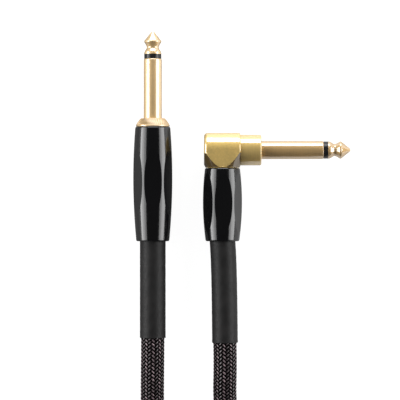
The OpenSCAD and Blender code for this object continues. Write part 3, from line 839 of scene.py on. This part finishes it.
# %% Lacquer and moulded plastic
def gloss_material(name, colour, rough, ior, bump_mm):
    """rough is the roughness, and bump_mm the height of the soft unevenness."""
    material, tree, shader = new_material(name, IOR=ior)
    place = object_place(tree)
    peel = noise(tree, place, 0.9, 2.0, 0.4)
    feed(tree, shader, Roughness=remap(tree, peel, 0.3, 0.7, rough - 0.02, rough + 0.03),
         Base_Color=mixed(tree, noise(tree, place, 0.15), colour, tuple(c * 1.3 for c in colour)))
    bumped(tree, shader, peel, 0.3, bump_mm)
    return material


barrel_black = gloss_material("black_lacquer", (0.003, 0.003, 0.0034), 0.13, 1.76, 0.003)
ring_black = gloss_material("black_ring", (0.012, 0.012, 0.012), 0.22, 1.5, 0.01)
print("gloss finishes", barrel_black.name, ring_black.name)

# %% [markdown]
# ## The contact shafts
# Both shafts follow the same standard: a tip with a waist where the jack's spring latches, a black
# ring, and a long sleeve. The outline of the tip goes from its nose back over the crown, down to
# the waist, up to the band at the ring, and on as the thin rod that carries the tip's contact
# back to its terminal.

# %% Outline of the tip
sleeve_r, ring_step = 3.175, 0.125
ring_r = sleeve_r - ring_step
rod_r, waist_r = 1.2, 2.1
tip_l, crown_share = 7.9, 0.565     # the crown lies this share of the tip in front of the ring
nose_r, crown_r, flank = 0.8, 0.45, 39
crown_land, undercut_l, band_l = 0.4, 1.7, 0.6
flange_l, flange_rise = 0.3, 0.5


def tip_outline(base, rear):
    """From the nose back: blunt nose, 39 degree cone, crown, undercut (1 - t)^1.5, waist, flare
    t^2 (3 - 2t), band, rod and the riveted flange at the rod's end."""
    crown = base + tip_l * crown_share
    waist = crown - (crown_land + undercut_l)
    t = np.linspace(0, 1, 24)
    nose_turn = np.radians(np.linspace(88, flank, 10))
    nose = np.stack([base + tip_l - nose_r * (1 - np.sin(nose_turn)), nose_r * np.cos(nose_turn)], -1)
    crown_turn = np.radians(np.linspace(flank, 0, 10))
    bow = np.stack([crown + crown_r * np.sin(crown_turn),
                    ring_r - crown_r + crown_r * np.cos(crown_turn)], -1)
    undercut = np.stack([crown - crown_land - undercut_l * t,
                         waist_r + (ring_r - 0.1 - waist_r) * (1 - t) ** 1.5], -1)
    flare = np.stack([waist + (base + band_l - waist) * t,
                      waist_r + (ring_r - 0.12 - waist_r) * t**2 * (3 - 2 * t)], -1)
    band = np.array([[base + 0.52, ring_r - 0.03], [base + 0.4, ring_r], [base + 0.06, ring_r],
                     [base, ring_r - 0.06], [base, rod_r], [rear + flange_l, rod_r],
                     [rear + flange_l, rod_r + flange_rise], [rear, rod_r + flange_rise]])
    return np.concatenate([nose, bow, undercut, flare[1:], band])[::-1]


print("points in the tip's outline", len(tip_outline(0, -1)))

# %% [markdown]
# The black ring is one piece with a thin tube that goes into the sleeve, and the sleeve has a neck
# that the shoulder is pressed on. Both outlines close on themselves, so each piece is a pipe with
# a wall, as the real ones are, and it holds the next one with a little play.

# %% The two shafts
ring_l = 1.54
bore_r, neck_r, rod_past_neck = 1.9, 2.6, 3.1
ring_spigot_l, fit = 2.0, 0.02


def shaft(side, axis, sleeve_l, neck_l, gold):
    """Tip, ring and sleeve on one axis, with the sleeve's neck behind the shoulder at station 0."""
    base = sleeve_l + ring_l
    rear = -neck_l - rod_past_neck
    lathe(f"{side}_tip_contact", axis, tip_outline(base, rear), "gold_plate", gold, f"{side}_tip",
          pipe=False)
    black = rounded([(sleeve_l + fit, rod_r + fit, 0), (sleeve_l + fit, ring_r - 0.03, 0.05),
                     (base - fit, ring_r - 0.03, 0.05), (base - fit, rod_r + fit, 0)])
    spigot = np.array([[sleeve_l - ring_spigot_l, rod_r + fit], [sleeve_l - ring_spigot_l, bore_r - fit],
                       [sleeve_l + fit, bore_r - fit]])
    lathe(f"{side}_black_ring", axis, np.concatenate([spigot, black[1:]]), "ring_plastic",
          ring_black, f"{side}_tip_insulator")
    body = rounded([(-neck_l, bore_r, 0), (-neck_l, neck_r, 0.1), (0, neck_r, 0), (0, sleeve_r, 0.03),
                    (sleeve_l - 0.3, sleeve_r, 0.12), (sleeve_l, sleeve_r - 0.28, 0.05),
                    (sleeve_l, bore_r, 0)])
    lathe(f"{side}_sleeve_contact", axis, body, "gold_plate", gold, f"{side}_sleeve", columns=128)


shoulder_y = straight_shaft["start"][1]
shaft("straight", straight_shaft, high("straight_sleeve")[1] - shoulder_y,
      shoulder_y - low("straight_sleeve")[1], gold_y)
shaft("angle", angle_shaft, high("angle_sleeve")[0] - shoulder_x,
      shoulder_x - low("angle_sleeve")[0], gold_x)

# %% [markdown]
# ## The fluted shoulder ring
# Where the straight shaft meets its barrel sits a small dome with slanting flutes, for a good
# grip when the barrel is screwed on. The radius is the dome's, less a groove that repeats round
# the ring and drifts sideways along it. Cut out of the dome with booleans, the flutes would leave
# long thin faces, and here each is a dozen clean columns of the grid.

# %% The shoulder ring
straight_seat = high("straight_barrel")[1] - rear_y + 0.1
shoulder_base_r, shoulder_front_r, rim_l = 5.9, 4.2, 0.45
flutes, flute_depth, flute_drift, flute_columns = 44, 0.24, 0.11, 12
rim_round, front_lip = 0.06, 0.25


def fluted_ring():
    """r = dome - depth * profile. The dome falls from base to front as 0.6 u + 0.4 u^2, and the
    flute's profile = (1 - |sin(n (turn - drift s) / 2)|)^1.3, which fades out at the rim and the front.
    The profile is returned as well, as the mask for painted shade in the flute bottoms."""
    dome_l = straight_front - straight_seat - rim_l
    u = np.linspace(0, 1, 44)
    s = straight_seat + np.r_[np.linspace(rim_round, rim_l - rim_round, 5), rim_l + dome_l * u]
    r = np.r_[np.full(5, shoulder_base_r),
              shoulder_base_r - (shoulder_base_r - shoulder_front_r) * u * (0.6 + 0.4 * u)]
    r[0] -= 0.02            # break the edges at the seat, between rim and dome, and at the front
    r[4:6] -= 0.02, 0.1
    r[-2:] -= 0.01, 0.06
    turn = full_turn(flutes * flute_columns)
    fade_in = ease((s - straight_seat - rim_l) / 0.25) * ease((straight_front - s) / 0.3 + 0.3)
    phase = flutes * (turn - flute_drift * (s[:, None] - straight_seat)) / 2
    groove = (1 - np.abs(np.sin(phase))) ** 1.3 * fade_in[:, None]
    radius = r[:, None] - flute_depth * groove
    inner = np.array([[straight_front, shoulder_front_r - front_lip], [straight_front, neck_r + fit],
                      [straight_seat, neck_r + fit], [straight_seat, shoulder_base_r - 0.08]])
    stations = np.r_[s, inner[:, 0]][:, None]
    radii = np.concatenate([radius, inner[:, 1:] * np.ones_like(turn)])
    # The flute's profile is kept as a mask, for painted shade in the flute bottoms.
    depth = np.concatenate([groove, np.zeros((len(inner), turn.shape[1]))])
    return on_axis(straight, stations, radii, turn), depth


ring_points, ring_grooves = fluted_ring()
# The ring's gold paints shade into its flute bottoms from this mask.
add_grid("straight_shoulder_ring", ring_points, "gold_plate", gold_fluted, "straight_shoulder",
         pipe=True, sharp=50, groove=ring_grooves)

# %% [markdown]
# Behind the ring a thread shows when the barrel is undone. A helix carried round as a profile
# would have to be joined to its tube, while here the radius alone does it: it rises and falls once
# for every pitch along, and once for every turn round.

# %% The thread
thread_r, thread_pitch, thread_depth = 5.0, 0.75, 0.4
thread_slack, thread_columns, rows_per_pitch = 0.03, 96, 12
straight_bore_r = 4.0


def threaded_spigot(axis, low_s, high_s, bore):
    """r = thread radius - depth * |2 frac(s / pitch - turn / 2 pi) - 1|, with flattened tops and
    roots, and faded at both ends."""
    s = np.linspace(low_s, high_s, int((high_s - low_s) / thread_pitch * rows_per_pitch))
    turn = full_turn(thread_columns)
    wave = np.mod(s[:, None] / thread_pitch - turn / (2 * math.pi), 1)
    run_out = ease((s - low_s) / 0.4) * ease((high_s - s) / 0.4)
    depth = thread_depth * (0.25 + 0.75 * run_out[:, None])
    r = thread_r - thread_slack - depth * np.clip(np.abs(2 * wave - 1) * 1.25 - 0.12, 0, 1)
    radii = np.concatenate([r, np.full((2, thread_columns), bore)])
    return on_axis(axis, np.r_[s, high_s, low_s][:, None], radii, turn)


straight_spigot = threaded_spigot(straight, low("straight_shoulder")[1] - rear_y, straight_seat,
                                  straight_bore_r)
add_grid("straight_thread", straight_spigot, "gold_plate", gold_y, pipe=True)

# %% [markdown]
# ## The barrels
# A barrel is a gently bulged tube, and a big grinding wheel has cut six lens-shaped flats round
# it. Round the axis the distance of a flat is ground(s) / cos(angle from its middle), and the
# barrel keeps whichever is smaller, bulge or flat. Boolean cuts would give the same shape, but with
# long thin faces that shade badly. The edge of a flat must be a line of the grid, or it would look
# frayed. So the columns aren't evenly spaced: in each sixth of a turn some are spread over the
# flat, some over the round land, and three close together follow the edge, which rounds it a
# little and lets it catch the light. The longer barrel bulges less and is cut by the smaller wheel.

# %% The ground barrels
facets = 6
barrel_r, facet_r, barrel_edge = 6.83, 6.1, 0.45
rear_hole_r, bore_wall_r, barrel_thread_r = 4.91, 5.35, 5.05
rear_wall_l, barrel_thread_l = 3.0, 6.5
edge_softness = math.radians(0.45)
barrel_rows, flat_columns, land_columns = 150, 9, 9


def barrel_points(axis, length, widest, bulge_r, wheel_r, turned_by):
    """Outer radius min(bulge, ground / cos), with bulge(s) = R - c + sqrt(c^2 - (s - widest)^2)
    and ground(s) = f + w - sqrt(w^2 - (s - middle)^2); then the front face, bore and rear face."""
    ends = np.linspace(0, math.pi / 2, 7)
    cap = barrel_edge * (1 - np.cos(ends[1:]))
    s = np.r_[cap, np.linspace(barrel_edge, length - barrel_edge, barrel_rows)[1:-1],
              length - cap[::-1]]
    inset = np.zeros_like(s)
    inset[:6] = barrel_edge * (1 - np.sin(ends[1:]))
    inset[-6:] = inset[:6][::-1]
    swell = barrel_r - bulge_r + np.sqrt(bulge_r**2 - (s - widest) ** 2) - inset
    ground = facet_r + wheel_r - np.sqrt(wheel_r**2 - (s - length / 2) ** 2)
    half = np.arccos(np.clip(ground / (swell + inset), 0, 1))
    half = np.maximum(half, 1.6 * edge_softness)[:, None]
    sixth = 2 * math.pi / facets
    on_flat = np.linspace(-1, 1, flat_columns)[None] * (half - edge_softness)
    land_from, land_to = half + edge_softness, sixth - half - edge_softness
    on_land = land_from + (land_to - land_from) * np.linspace(0, 1, land_columns)[None]
    sector = np.concatenate([on_flat, half, on_land, sixth - half], 1)
    offset = sixth * np.arange(facets)
    near = sector[:, None] * np.ones((1, facets, 1))
    turn = (near + offset[None, :, None]).reshape(len(s), -1) + math.radians(turned_by)
    from_flat = np.minimum(near, sixth - near)
    flat = ground[:, None, None] / np.cos(from_flat)
    outer = np.minimum(swell[:, None, None], flat).reshape(len(s), -1)
    thread_end = length - barrel_thread_l
    inner = np.array([[length, barrel_thread_r + 0.15], [length - 0.15, barrel_thread_r],
                      [thread_end, barrel_thread_r], [thread_end, bore_wall_r],
                      [rear_wall_l, bore_wall_r], [rear_wall_l, rear_hole_r], [0.1, rear_hole_r],
                      [0, rear_hole_r + 0.1]])
    stations = np.r_[s, inner[:, 0]][:, None]
    radii = np.concatenate([outer, inner[:, 1:] * np.ones((1, turn.shape[1]))])
    turn = np.concatenate([turn, np.repeat(turn[-1:], 4, 0), np.repeat(turn[:1], 4, 0)])
    return on_axis(axis, stations, radii, turn)


def barrel(side, axis, **shape):
    """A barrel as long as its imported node, on a body of its own."""
    length = high(f"{side}_barrel")[1] - low(f"{side}_barrel")[1]
    add_grid(f"{side}_ground_barrel", barrel_points(axis, length, **shape), "black_gloss",
             barrel_black, f"{side}_barrel", body=f"{side}_barrel_body", pipe=True, sharp=50)


barrel("straight", straight, widest=22.1, bulge_r=230, wheel_r=160, turned_by=2)
barrel("angle", angle, widest=13.7, bulge_r=100, wheel_r=300, turned_by=3)

# %% [markdown]
# ## The boots
# Each boot is a length of heat-shrink tube, a dull plastic that is nearly black. Its colour changes
# a little in soft clouds, and one fine grain drives both its roughness and its bump, so that the
# highlight breaks up where the surface does.

# %% Heat-shrink plastic
boot_material, boot_tree, boot_shader = new_material("heat_shrink", Specular_IOR_Level=0.3)
boot_place = object_place(boot_tree)
boot_grain = noise(boot_tree, boot_place, 1.7, 4.0, 0.65)
boot_clouds = noise(boot_tree, boot_place, 0.22, 2.0)
boot_colour = mixed(boot_tree, remap(boot_tree, boot_clouds, 0.3, 0.7),
                    (0.010, 0.0096, 0.0096), (0.017, 0.0162, 0.0163))
feed(boot_tree, boot_shader, Base_Color=boot_colour,
     Roughness=remap(boot_tree, boot_grain, 0.3, 0.7, 0.42, 0.6))
bumped(boot_tree, boot_shader, boot_grain, 0.5, 0.05)
print("finish", boot_material.name)

# %% [markdown]
# The tube's wall is thin, so the braid under it shows faintly as a waviness, and its cut end stands
# a little proud. Both are small sums added to the radius of a tube along the boot's own line. The
# straight plug's boot is straight, and the angle plug's leans and settles into a slight curve.

# %% The boots
boot_r, boot_bore_r = 4.5, 4.12
wave_height, lip_height, lip_l, end_round = 0.018, 0.05, 0.5, 0.12
settle_by, settle_over, settle_slope = 0.62, 9.0, 0.0077


def boot_points(line, columns=96):
    """Outer radius with a low waviness, then the end faces and the bore, along the same line."""
    at = lengths(line)[:, None]
    from_end = at[-1] - at
    turn = full_turn(columns)
    wave = wave_height * np.sin(1.9 * at + 2 * np.sin(2 * turn)) * np.sin(10 * turn + 0.7 * at)
    lip = lip_height * np.exp(-(from_end / lip_l) ** 2)
    rounding = end_round * (1 - np.sqrt(1 - np.clip(1 - from_end / end_round, 0, 1) ** 2))
    outer = boot_r + wave + lip - rounding
    bore = np.full((len(at), columns), boot_bore_r)
    return np.concatenate([tube_points(line, outer, columns),
                           tube_points(line, bore, columns)[::-1]])


def boot(side, line):
    add_grid(f"{side}_shrink_boot", boot_points(line), "boot_shrink", boot_material,
             f"{side}_boot", pipe=True)


# stations from 0 to 1 along a boot, with a few more close to its cut end
boot_at = np.unique(np.r_[np.linspace(0, 1, 120), 1 - np.linspace(0, 0.004, 6)])[:, None]
straight_top = np.array([straight_exit[0], high("straight_boot")[1], straight_exit[2]])
boot("straight", straight_top + (straight_exit - straight_top) * boot_at)

# the angle plug's boot starts in its barrel; behind it settles by 1 - e^-x and keeps a slope
back_from = rear_y - high("angle_boot")[1]
back_to = leaning_l * math.cos(boot_lean) - lean_pivot
back = back_from + (back_to - back_from) * boot_at
behind = np.maximum(back, 0)
settled = settle_by * (1 - np.exp(-behind / settle_over)) + settle_slope * behind
boot("angle", np.concatenate([angle_x + settled, rear_y - back,
                              np.full_like(back, angle["start"][2])], 1))

# %% [markdown]
# ## The right-angle head
# The head is a block with an arch over the shaft, and a cone turned round the barrel's axis has
# trimmed its lower corners down to a round foot. Cut across the shaft, every slice is the same
# arch, cut by the cone where the slice is far from the barrel's axis. Seen from the arch's centre
# each direction meets the arch, the foot or the cone first, so the slice's radius is the smallest
# of three, joined by a smooth minimum that leaves a fine bevel where they meet, while booleans
# would leave knife edges. The same function says where the cone has cut, so that the material can
# paint shade on those corners, as a darker gold.

# %% The head
arch_r, head_front, head_back, head_foot_r = 6.0, 6.2, 6.45, 5.95
left_round, right_round = 1.2, 0.35
bevel_sharpness = 70
cone_slope = math.tan(math.radians(24.5))
foot_s = high("angle_barrel")[1] - rear_y + 0.1
shaft_s = shaft_y - rear_y
head_rise = shaft_s - foot_s


def head_points(rows=150, columns=400):
    """Polar slices round the shaft's axis: 1 / r = (sum of 1 / r_k ^ n) ^ (1 / n), with r_k the
    distances to the arch, the foot plane and the cone x^2 + z^2 = (A + k y)^2. The second array
    goes from 0 to 1 over the first 0.3 mm that the cone takes off, and is the mask for painted shade
    on those corners."""
    across = np.linspace(0, 1, rows)[:, None]
    x = -head_back + (head_back + head_front) * (0.5 - 0.5 * np.cos(math.pi * across))
    turn = full_turn(columns)
    cos, sin = np.cos(turn), np.sin(turn)
    inset = np.zeros_like(x)
    for from_side, rounding in ((x + head_back, left_round), (head_front - x, right_round)):
        gap = np.clip(1 - from_side / rounding, 0, 1)
        inset = inset + rounding * (1 - np.sqrt(1 - gap**2))
    far = 1e3
    arch = np.where(cos >= 0, arch_r, arch_r / np.maximum(np.abs(sin), 1e-6)) - inset
    foot = np.where(cos < 0, head_rise / np.maximum(-cos, 1e-6), far)
    reach = head_foot_r + head_rise * cone_slope
    b = reach * cone_slope * cos
    d = b**2 + (sin**2 - (cone_slope * cos) ** 2) * (reach**2 - x**2)
    under = np.sqrt(np.maximum(d, 0)) - b
    cone = np.where((d > 0) & (under > 1e-6), (reach**2 - x**2) / np.maximum(under, 1e-6), far)
    on_cone = ease((np.minimum(arch, foot) - cone) / 0.3)
    total = sum(np.maximum(r, 1e-3) ** -bevel_sharpness for r in (arch, foot, cone))
    radius = total ** (-1 / bevel_sharpness)
    centre = angle["start"] + angle["along"] * shaft_s
    ring = angle["along"] * cos[..., None] + angle["up"] * sin[..., None]
    return centre + angle["side"] * x[..., None] + ring * radius[..., None], on_cone


head_grid, head_cone_shade = head_points()
# The cone's mask goes on the mesh, for painted shade on the head's cut corners.
add_grid("angle_plug_head", head_grid, "gold_plate_soft", gold_painted_corners, "angle_head", sharp=60,
         groove=np.r_[head_cone_shade.ravel(), head_cone_shade[0, 0], head_cone_shade[-1, 0]])

# %% [markdown]
# Between the head and the barrel is a thin rim, and below it the same thread as on the straight
# plug. Both are round about the barrel's axis and not the shaft's, so they are pieces of their own.

# %% Rim and thread of the head
head_rim_r, head_rim_l, head_rim_round = 6.02, 0.55, 0.22
head_rim_bore_r, head_bore_r = 4.0, 3.9
rim_outline = rounded([(foot_s, head_rim_bore_r, 0), (foot_s, head_rim_r, head_rim_round),
                       (foot_s + head_rim_l, head_rim_r, head_rim_round),
                       (foot_s + head_rim_l, head_rim_bore_r, 0)])
lathe("angle_head_rim", angle, rim_outline, "gold_plate_soft", gold_head, columns=128)
head_spigot = threaded_spigot(angle, low("angle_head")[1] - rear_y, foot_s, head_bore_r)
add_grid("angle_thread", head_spigot, "gold_plate_soft", gold_head, pipe=True)

# %% [markdown]
# The collar is turned too, and carries the shaft into the head. Its chamfer at the front catches a
# line of light, which is what tells the eye that the edge is there.

# %% The collar
collar_r, collar_l, collar_chamfer = 5.37, 7.35, 0.3
collar_outline = rounded([(-collar_l, neck_r + fit, 0), (-collar_l, collar_r, 0.05),
                          (-collar_chamfer, collar_r, 0.12), (0, collar_r - collar_chamfer, 0.05),
                          (0, neck_r + fit, 0)])
lathe("angle_shaft_collar", angle_shaft, collar_outline, "gold_plate_soft", gold_collar,
      "angle_collar", columns=128)

# %% [markdown]
# ## The inner pieces
# Undoing a barrel shows what is inside. These pieces are small and plain, so they keep their solids
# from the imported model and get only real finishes: stamped brass, a fibre washer, nylon, the
# cable's plastic core, and solder. One function makes them all, from two close colours in clouds.


# %% Finishes of the inner pieces
def plain_finish(name, first, second, scale, rough, bump_mm, **fixed):
    """Two close colours in clouds of that scale, with the same clouds as fine bump."""
    material, tree, shader = new_material(name, **fixed)
    clouds = noise(tree, object_place(tree), scale, 4.0, 0.6)
    feed(tree, shader, Base_Color=mixed(tree, remap(tree, clouds, 0.3, 0.7), first, second),
         Roughness=remap(tree, clouds, 0.3, 0.7, rough - 0.06, rough + 0.06))
    bumped(tree, shader, clouds, 0.4, bump_mm)
    return material


metal = {"Metallic": 1.0}
nylon = plain_finish("nylon", (0.76, 0.72, 0.62), (0.84, 0.81, 0.73), 0.8, 0.4, 0.02)
fibre = plain_finish("fibre", (0.30, 0.16, 0.08), (0.42, 0.25, 0.13), 4.0, 0.75, 0.05)
brass = plain_finish("brass", (0.66, 0.50, 0.24), (0.76, 0.60, 0.32), 1.5, 0.3, 0.01, **metal)
wire = plain_finish("tinned_wire", (0.50, 0.49, 0.47), (0.68, 0.67, 0.66), 5.0, 0.35, 0.08, **metal)
solder = plain_finish("solder", (0.50, 0.51, 0.52), (0.64, 0.65, 0.66), 1.2, 0.32, 0.03, **metal)
core = plain_finish("core_plastic", (0.76, 0.76, 0.74), (0.84, 0.84, 0.82), 0.5, 0.45, 0.01)
jacket = plain_finish("jacket_end", (0.02, 0.018, 0.018), (0.10, 0.075, 0.08), 3.0, 0.7, 0.08)
liner = plain_finish("liner", (0.60, 0.60, 0.58), (0.68, 0.68, 0.66), 0.4, 0.5, 0.01)
inner_finishes = {
    "rod_insulator": nylon, "rear_washer": fibre, "tip_terminal": brass, "ground_clamp": brass,
    "shield_tail": wire, "solder": solder, "cable_core": core, "cable_jacket": jacket, "liner": liner,
}
for name, packed in frame["nodes"].items():
    kind = name.split("_", 1)[1]
    if kind in inner_finishes and not packed.hide_render:
        packed.data.materials.clear()
        packed.data.materials.append(inner_finishes[kind])
        print("finished", name)

# %% [markdown]
# ## Floor and light
# The table and what is behind it are white. The floor adds light of its own for the camera, so
# that it comes out white and keeps a trace of the shadows. For reflected rays it glows by place, as
# painted reflection: nearly nothing on the left and between the plugs, about half on the right of the
# angle plug, and more behind its head. Otherwise every barrel would have two white edges.

# %% The floor
floor_half, floor_drop = 3.0, 0.0001    # metres
floor_seen = 0.9                        # strength for the camera
# The floor's glow for reflected rays is painted reflection, set by place.
floor_left, floor_right, floor_behind = 0.03, 0.45, 0.7    # strengths for reflections
left_to_right = (-0.004, 0.003)         # metres along X over which the left turns into the right
behind_from_x, behind_from_y = (-0.02, -0.014), (0.021, 0.025)     # and where it grows behind


def ray_kinds(tree):
    """1 for rays from the camera, straight or through glass, and 1 for reflected rays."""
    path = node(tree, "LightPath").outputs
    return (sums(tree, "MAXIMUM", path["Is Camera Ray"], path["Is Transmission Ray"]),
            path["Is Glossy Ray"])


floor_mesh = bpy.data.meshes.new("floor")
floor_corners = [(x * floor_half, y * floor_half, -floor_drop)
                 for x, y in ((-1, -1), (1, -1), (1, 1), (-1, 1))]
floor_mesh.from_pydata(floor_corners, [], [(0, 1, 2, 3)])
floor = bpy.data.objects.new("floor", floor_mesh)
bpy.context.scene.collection.objects.link(floor)
floor_material, floor_tree, floor_shader = new_material(
    "floor_white", Base_Color=(0.3, 0.3, 0.3), Roughness=0.9, Specular_IOR_Level=0.1,
    Emission_Color=(1.0, 1.0, 1.0))
floor_mesh.materials.append(floor_material)
place = parts_of(floor_tree, node(floor_tree, "TexCoord").outputs["Object"])
across = remap(floor_tree, place[0], *left_to_right, floor_left, floor_right)
behind = sums(floor_tree, "MULTIPLY", remap(floor_tree, place[0], *behind_from_x, 0.0, floor_behind),
              remap(floor_tree, place[1], *behind_from_y))
seen, glossy = ray_kinds(floor_tree)
# Painted reflection: a glow that only reflected rays see, by place on the floor.
painted_reflection = sums(floor_tree, "MULTIPLY", glossy, sums(floor_tree, "MAXIMUM", across, behind))
glow = sums(floor_tree, "MAXIMUM", sums(floor_tree, "MULTIPLY", seen, floor_seen), painted_reflection)
feed(floor_tree, floor_shader, Emission_Strength=glow)
print("floor", 2 * floor_half, "m wide, mirrored at", floor_left, "to", floor_behind)

# %% [markdown]
# The world is white for the camera. For reflections it is white only at the horizon and dark
# overhead, which keeps the barrels' tops black, and for everything else it is a weak, even fill.

# %% The world
fill, overhead = 0.25, 0.03
world = bpy.data.worlds.new("studio")
bpy.context.scene.world = world
world.use_nodes = True
sky = world.node_tree
upward = parts_of(sky, node(sky, "TexCoord").outputs["Generated"])[2]
horizon = remap(sky, upward, 0.02, 0.12, 1.0, overhead)
backdrop, sky_glossy = ray_kinds(sky)
around_it = sums(sky, "MULTIPLY_ADD", sky_glossy, sums(sky, "SUBTRACT", horizon, fill), fill)
feed(sky, sky.nodes["Background"], Color=(1, 1, 1), Strength=sums(sky, "MAXIMUM", backdrop, around_it))
print("even fill", fill, "and overhead", overhead, "for reflections")

# %% [markdown]
# Soft boxes make the bands of light on the barrels' shoulders and along the gold. Left and right
# stand three each, one above the other and dimmer towards the top, so that a band fades towards
# the middle of a barrel. They stop at about 40 degrees from overhead, and above that it is dark.
# One more stands low behind the tips.


# %% The soft boxes
def soft_box(name, azimuth, zenith, distance, width, length, radiance, shift=0.0):
    """An area lamp that faces the origin, and may be shifted along its length. Angles are in
    degrees and lengths in metres, and its power is radiance * pi * area."""
    data = bpy.data.lights.new(name, "AREA")
    data.shape, data.size, data.size_y = "RECTANGLE", width, length
    data.energy = radiance * math.pi * width * length
    lamp = bpy.data.objects.new(name, data)
    a, z = math.radians(azimuth), math.radians(zenith)
    towards = np.array([math.cos(a) * math.sin(z), math.sin(a) * math.sin(z), math.cos(z)])
    across = np.array([-math.sin(a), math.cos(a), 0])
    down = np.cross(across, towards)
    rows = np.eye(4)
    rows[:3] = np.stack([down, across, towards, towards * distance + across * shift], 1)
    lamp.matrix_world = Matrix(rows)
    lamp.visible_camera = False
    bpy.context.scene.collection.objects.link(lamp)


box_distance, box_width, box_length = 0.8, 0.1775, 0.75
top_zenith, zenith_step = 48.3, 12.65
box_shift = 0.1
for name, azimuth, shift, levels in (("left", 180, -box_shift, (2.2, 4.0, 6.0)),
                                     ("right", 0, box_shift, (2.5, 4.2, 4.6))):
    for k, radiance in enumerate(levels):
        soft_box(f"{name}_box_{k}", azimuth, top_zenith + zenith_step * k, box_distance, box_width,
                 box_length, radiance, shift)
soft_box("back_box", azimuth=90, zenith=72, distance=0.9, width=0.57, length=0.8, radiance=4.2)

# %% [markdown]
# ## Last steps
# Colours are shown as they are, with no film look.

# %% View settings
bpy.context.scene.view_settings.view_transform = "Standard"
